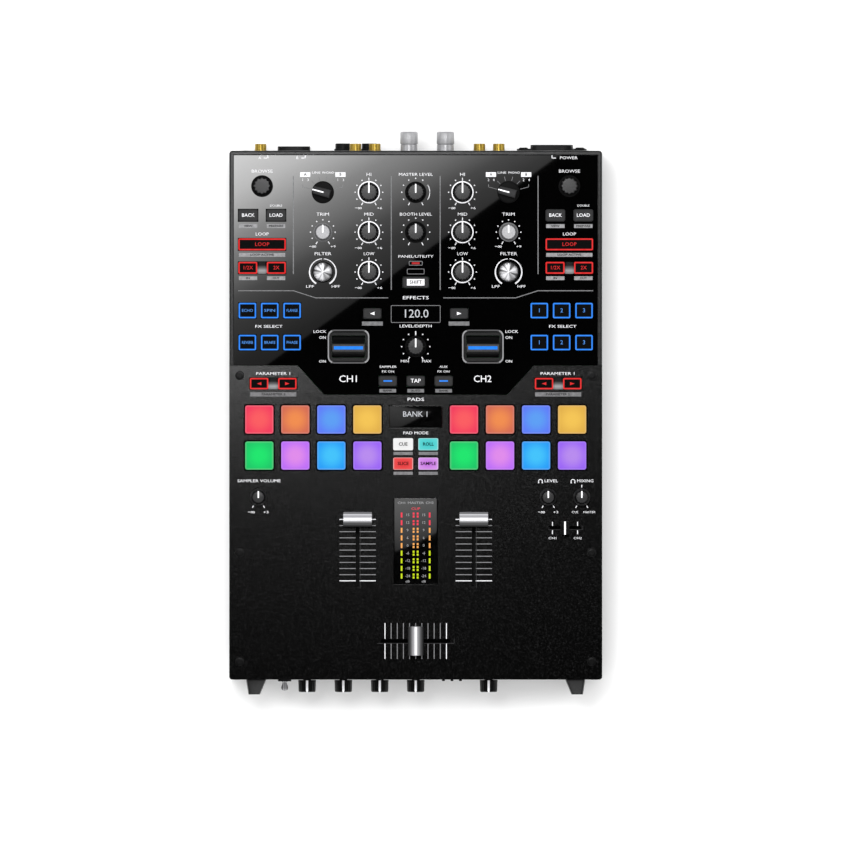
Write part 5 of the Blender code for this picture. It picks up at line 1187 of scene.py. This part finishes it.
# The fader and crossfader scales are printed lines each side of the slots.
# End lines are white, and the lines between them grey.
FADER_X, FADER_REAR, CROSS_Y, CUE_X, CUE_Y = 0.0416, -0.0762, -0.1633, 0.1069, -0.0824
SCALE_PITCH, SCALE_SHIFT, SCALE_LINE = 0.0044, 0.0072, 0.0006
for name, finish, steps in (("ends", print_white, (0, 10)), ("between", print_grey, range(1, 10))):
    marks = [
        (sign * FADER_X + half * SCALE_SHIFT, FADER_REAR - step * SCALE_PITCH, PANEL_TOP)
        for _, sign in SIDES for _, half in SIDES for step in steps
    ]
    repeated(f"fader_scale_{name}", marks, block(0.0116, SCALE_LINE, INK), finish, "black_steel")
    marks = [
        ((step - 5) * SCALE_PITCH, CROSS_Y + half * SCALE_SHIFT, PANEL_TOP)
        for _, half in SIDES for step in steps
    ]
    repeated(f"crossfader_scale_{name}", marks, block(SCALE_LINE, 0.0112, INK), finish, "black_steel")
marks = [(CUE_X + side * 0.009, CUE_Y + half * 0.003, PANEL_TOP) for _, side in SIDES for _, half in SIDES]
repeated("cue_marks", marks, block(SCALE_LINE, 0.0028, INK), print_white, "black_steel")

# A thin lighter line of painted highlight runs along the right of each slider slot, where its edge catches
# the light. The two slots that lie across have one along the front as well.
THIN = 0.0003
slot_steel = grained("slot_steel", 0.018, 0.034, 0.5, 0.0008, sheen=0.1)
for name, wide, deep, x, y in (
    ("cross_slot_edge", 0.0548, THIN, 0, -0.165), ("cross_slot_end", THIN, 0.0032, 0.0275, -0.1633),
    ("cue_slot_edge", 0.0246, THIN, 0.1073, -0.0835), ("cue_slot_end", THIN, 0.0026, 0.1197, -0.0822),
    ("left_slot_edge", THIN, 0.052, -0.0398, -0.0996), ("right_slot_edge", THIN, 0.052, 0.0434, -0.0996),
):
    repeated(name, [(x, y, PANEL_TOP)], block(wide, deep, INK), slot_steel, "black_steel")

# Plain words and numbers name the controls, in the same white ink on both panels.
# They are set in one narrow face, with larger channel numbers behind the pads.
print_black = grained("print_black", 0.01, 0.018, 0.55, 0.0015, sheen=0.08)
words = bmesh.new()


def printed(finish, *rows):
    """Prints rows of (words, x, y, capital height, width if any), all in millimetres."""
    for text, x, y, tall, *wide in rows:
        lettered(words, text, x * MM, y * MM, tall * MM, PANEL_TOP + finish * INK, finish,
                 wide=wide[0] * MM if wide else None, weight=finish * 0.00006)


for side, sign in SIDES:
    deck, tone, source = sign * 110, sign * 33.5, sign * 66.5
    printed(
        0, ("BROWSE", deck, 173, 2.3, 15), ("LOOP", deck, 128, 2.3, 9.3),
        ("DOUBLE", deck + 10, 148.4, 1.5, 8.6), ("HI", tone, 170.7, 2.3, 3.4),
        ("MID", tone, 142.2, 2.3, 6.8), ("LOW", tone, 113.9, 2.3, 7.6), ("TRIM", source, 142.2, 2.3, 9),
        ("FILTER", source, 113.9, 2.3, 12), ("LPF", source - 9.2, 90.5, 1.9, 5.6),
        ("HPF", source + 9.2, 90.5, 1.9, 5.8), ("LINE", source - 4.8, 172, 1.6, 6),
        ("PHONO", source + 3.9, 172, 1.6, 8.2), ("LOCK", sign * 68.7, 58.2, 2, 9.2),
        ("ON", sign * 66.7, 53.9, 2, 4.8), ("ON", sign * 66.7, 36.9, 2, 4.8),
        ("FX SELECT", sign * 105.2, 61.9, 2, 19.5), ("PARAMETER 1", sign * 101.8, 28.1, 2.1, 24.3),
        ("−∞", source - 7.3, 119.1, 2.7, 4.9), ("+9", source + 7.3, 119.1, 1.7, 3.6),
    )
    for y in (146.6, 118.05, 89.5):
        printed(0, ("−∞", tone - 7.6, y, 2.7, 4.9), ("+6", tone + 7.6, y, 1.7, 3.6))
    for step, number in zip((-14.4, -10.6, 10.7, 14.7), "1313" if side == "left" else "2424"):
        printed(0, (number, source + step, 166.8, 1.9))
    printed(
        1, ("A", source - 12.6, 170.7, 2), ("B", source + 12.6, 170.7, 2),
        ("VIEW", deck - 10, 133.8, 1.5, 6.2), ("PREPARE", deck + 10, 133.8, 1.5, 10.2),
        ("LOOP ACTIVE", deck, 113.2, 1.5, 17), ("IN", deck - 10.05, 96.5, 1.5, 2.6),
        ("OUT", deck + 10.05, 96.5, 1.5, 5), ("PARAMETER 2", sign * 101.8, 13.3, 1.6, 17),
    )
printed(
    0, ("MASTER LEVEL", 0, 170.7, 2.2, 24.3), ("BOOTH LEVEL", 0, 142.2, 2.2, 22.9),
    ("EFFECTS", 0, 82.4, 2.4, 18.5), ("PANEL/UTILITY", 0, 112, 1.9, 25),
    ("LEVEL/DEPTH", 0, 62.1, 2.1, 22.9), ("MIN", -7.8, 37, 1.9, 5.7), ("MAX", 7.8, 37, 1.9, 6.4),
    ("CH1", -47.9, 24.2, 5, 12.6), ("CH2", 47.9, 24.2, 5, 12.6), ("SAMPLER", -19.8, 33, 1.6, 12.2),
    ("FX ON", -19.8, 29.6, 1.6, 8.6), ("AUX", 19.9, 33, 1.6, 5.8), ("FX ON", 19.9, 29.6, 1.6, 8.6),
    ("PADS", 0, 9.6, 2.4, 11.8), ("PAD MODE", 0, -14.4, 2.1, 17.9),
    ("SAMPLER VOLUME", -112.2, -48.7, 2.1, 30.8), ("LEVEL", 97, -48.7, 2.1, 9.6),
    ("MIXING", 121.4, -48.7, 2.1, 11.6), ("−∞", -117.7, -71.1, 2.7, 4.9), ("+3", -107.2, -71.1, 1.7, 3.6),
    ("−∞", 90, -71.1, 2.7, 4.9), ("+3", 100.3, -71.1, 1.7, 3.6), ("CUE", 114, -71.1, 1.5, 4.6),
    ("MASTER", 124.3, -71.1, 1.5, 8.6), ("CH1", 98.1, -89.7, 1.6, 5.6), ("CH2", 116, -89.7, 1.6, 5.8),
    ("POWER", 109.5, 182.6, 2.1, 12.6), ("A", -111.6, 182.6, 2), ("B", -84.8, 182.6, 2),
)
printed(1, ("BANK", -20, 15.9, 1.4, 6.6), ("AUTO", 0, 15.9, 1.4, 6.6), ("BANK", 20, 15.9, 1.4, 6.6))
made("printed_words", words, [print_white, print_black], "gloss_black")

# The front and rear plates carry the same white words, printed before the sockets go in.
# Ticks show the ends of each front knob's turn, and the power rocker has its two signs.
PLATE_CAPITALS, SIGN_CAPITALS, SWITCH_Z = 0.002, 0.0036, 0.066
FRONT_WORDS = (
    ("MIC", -94, 64.5), ("ON", -94, 58), ("OFF", -94, 42), ("LEVEL", -77.9, 64.5),
    ("HI", -51.9, 64.5), ("LOW", -25.8, 64.5), ("AUX", 0, 64.5), ("REVERSE", 26, 58),
    ("CURVE", 52.3, 64.5), ("PHONES", 88, 64.5),
)
REAR_WORDS = (
    ("A", -106, 75.5), ("B", -79, 75.5), ("AUX", -111.3, 53), ("MIC", -87.4, 49.5),
    ("PHONO", -43.2, 67.5), ("LINE", -29.3, 67.5), ("L", -36.25, 60), ("R", -36.25, 46),
    ("BOOTH", -42.9, 36.5), ("GND", 8.25, 62), ("PHONO", 45.7, 67.5), ("LINE", 59.6, 67.5),
    ("L", 52.65, 60), ("R", 52.65, 46), ("AC IN", 97.6, 50.5), ("POWER", 97.6, 76),
)
SWITCH_SIGNS = (("O", 0.09043, 0.18785, 0), ("I", 0.10382, 0.18949, 14.5))
front_face = Matrix.Rotation(pi / 2, 4, "X")
rear_face = Matrix.Rotation(pi, 4, "Z") @ front_face
plate_words = bmesh.new()
for rows, y, face, sign in ((FRONT_WORDS, FRONT_Y, front_face, 1), (REAR_WORDS, REAR_Y, rear_face, -1)):
    for text, x, z in rows:
        turn = Matrix.Translation((0, y, 0)) @ face
        lettered(plate_words, text, sign * x * MM, z * MM, PLATE_CAPITALS, 0, turn=turn)
for x in front_knobs.values():
    for end in ENDS:
        place = front_place(x) @ Matrix.Rotation(radians(end), 4, "Z")
        slab(plate_words, place, (-0.3, 7.9, -0.05), (0.3, 9.7, 0.05))
made("plate_words", plate_words, [print_white], "black_steel")
switch_signs = bmesh.new()
for text, x, y, lean in SWITCH_SIGNS:
    place = Matrix.Translation((x, y, SWITCH_Z)) @ Matrix.Rotation(radians(lean), 4, "Z") @ rear_face
    lettered(switch_signs, text, 0, 0, SIGN_CAPITALS, 0, turn=place)
made("switch_signs", switch_signs, [print_white], "black_plastic", "power_switch")

# Two small headphone signs are printed beside the phones controls.
# Each is a bow with two cups.
phones_signs = bmesh.new()
for x in (0.0893, 0.1126):
    arc(phones_signs, x, -0.049, 0.0014, -100, 100)
    for _, side in SIDES:
        patch(phones_signs, x + side * 0.0013, -0.0497, 0.0008, 0.0012, PANEL_TOP, proud=INK_PROUD)
made("phones_signs", phones_signs, [print_white], "black_steel")

# The two displays show through clear areas: a tempo in the upper one, a pad bank in the
# lower one. Thin grey frames are printed round the upper one and round the wake lamp.
FRAMES = ((0.07085, 0.0355, 0.0125), (0.1013, 0.0125, 0.004), (0.1072, 0.0098, 0.0032))
display_white = lit("display_white", (0.72, 0.74, 0.78), 0.9, ripple=0.12)
wake_red = lit("wake_red", (0.6, 0.012, 0.015), 0.8, ripple=0.12)
frames = bmesh.new()
for y, wide, deep in FRAMES:
    outer, inner = rounded(0, y, wide, deep, 0.0008), rounded(0, y, wide - 0.0008, deep - 0.0008, 0.0005)
    band(frames, outer, inner, PANEL_TOP - INK, PANEL_TOP + INK / 2)
made("display_frames", frames, [print_grey], "gloss_black")
readings = bmesh.new()
lettered(readings, "120.0", 0, FRAMES[0][0], 0.0062, PANEL_TOP)
lettered(readings, "BANK 1", 0, -0.001, 0.004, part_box("pad_display")[1].z)
patch(readings, 0, FRAMES[2][0], 0.0056, 0.0015, PANEL_TOP, 1, proud=INK_PROUD)
made("display_readings", readings, [display_white, wake_red], "smoked_window")

# Black socket screws hold the plates, and small corner ticks by the rear rim point to
# the computer ports and the mains inlet behind.
SCREW_STATIONS = (
    (0, -0.6), (3.3, -0.6), (3.3, 0.74), (2.75, 0.76), (2.5, 0.92), (1.8, 1), (1.5, 1), (1.35, 0.84),
    (0, 0.84),
)
HALF_CASE, TRAY_LOW, SUNK, QUARTER = 0.1335, 0.009, 0.0008, pi / 2
FACE_UP, FACE_DOWN = (0, 0, 0), (pi, 0, 0)
FACE_REAR, FACE_FRONT = (-QUARTER, 0, 0), (QUARTER, 0, 0)
INLET_X, INLET_SHIFT = 0.0976, 0.0203
screw_black = grained("screw_black", 0.0012, 0.003, 0.34, 0.0004, sheen=0.15)
screw = bmesh.new()
turn_up(screw, SCREW_STATIONS, Matrix(), sides=18)
screws = []
for _, sign in SIDES:
    screws += [(sign * 0.126, y, PANEL_TOP - 0.0007, FACE_UP) for y in (0.0268, -0.1, -0.178)]
    screws += [(sign * (HALF_CASE - SUNK), y, 0.05, (0, sign * QUARTER, 0)) for y in (-0.15, 0, 0.15)]
    screws += [(sign * 0.1215, REAR_Y - SUNK, z, FACE_REAR) for z in (0.018, 0.079)]
    screws += [(sign * 0.09, y, TRAY_LOW + 0.0006, FACE_DOWN) for y in (-0.17, 0, 0.17)]
    screws += [(INLET_X + sign * INLET_SHIFT, REAR_Y + 0.0018, 0.034, FACE_REAR)]
    screws += [(sign * 0.128, FRONT_Y + SUNK, z, FACE_FRONT) for z in (0.015, 0.08)]
repeated("plate_screws", screws, screw, screw_black, "black_steel")
corner_ticks = bmesh.new()
for x, side in ((-0.1059, -1), (-0.0791, -1), (INLET_X, 1)):
    patch(corner_ticks, x, 0.1834, 0.0006, 0.0022, PANEL_TOP, proud=INK_PROUD)
    patch(corner_ticks, x + side * 0.0014, 0.1825, 0.003, 0.0005, PANEL_TOP, proud=INK_PROUD)
made("corner_ticks", corner_ticks, [print_white], "gloss_black")
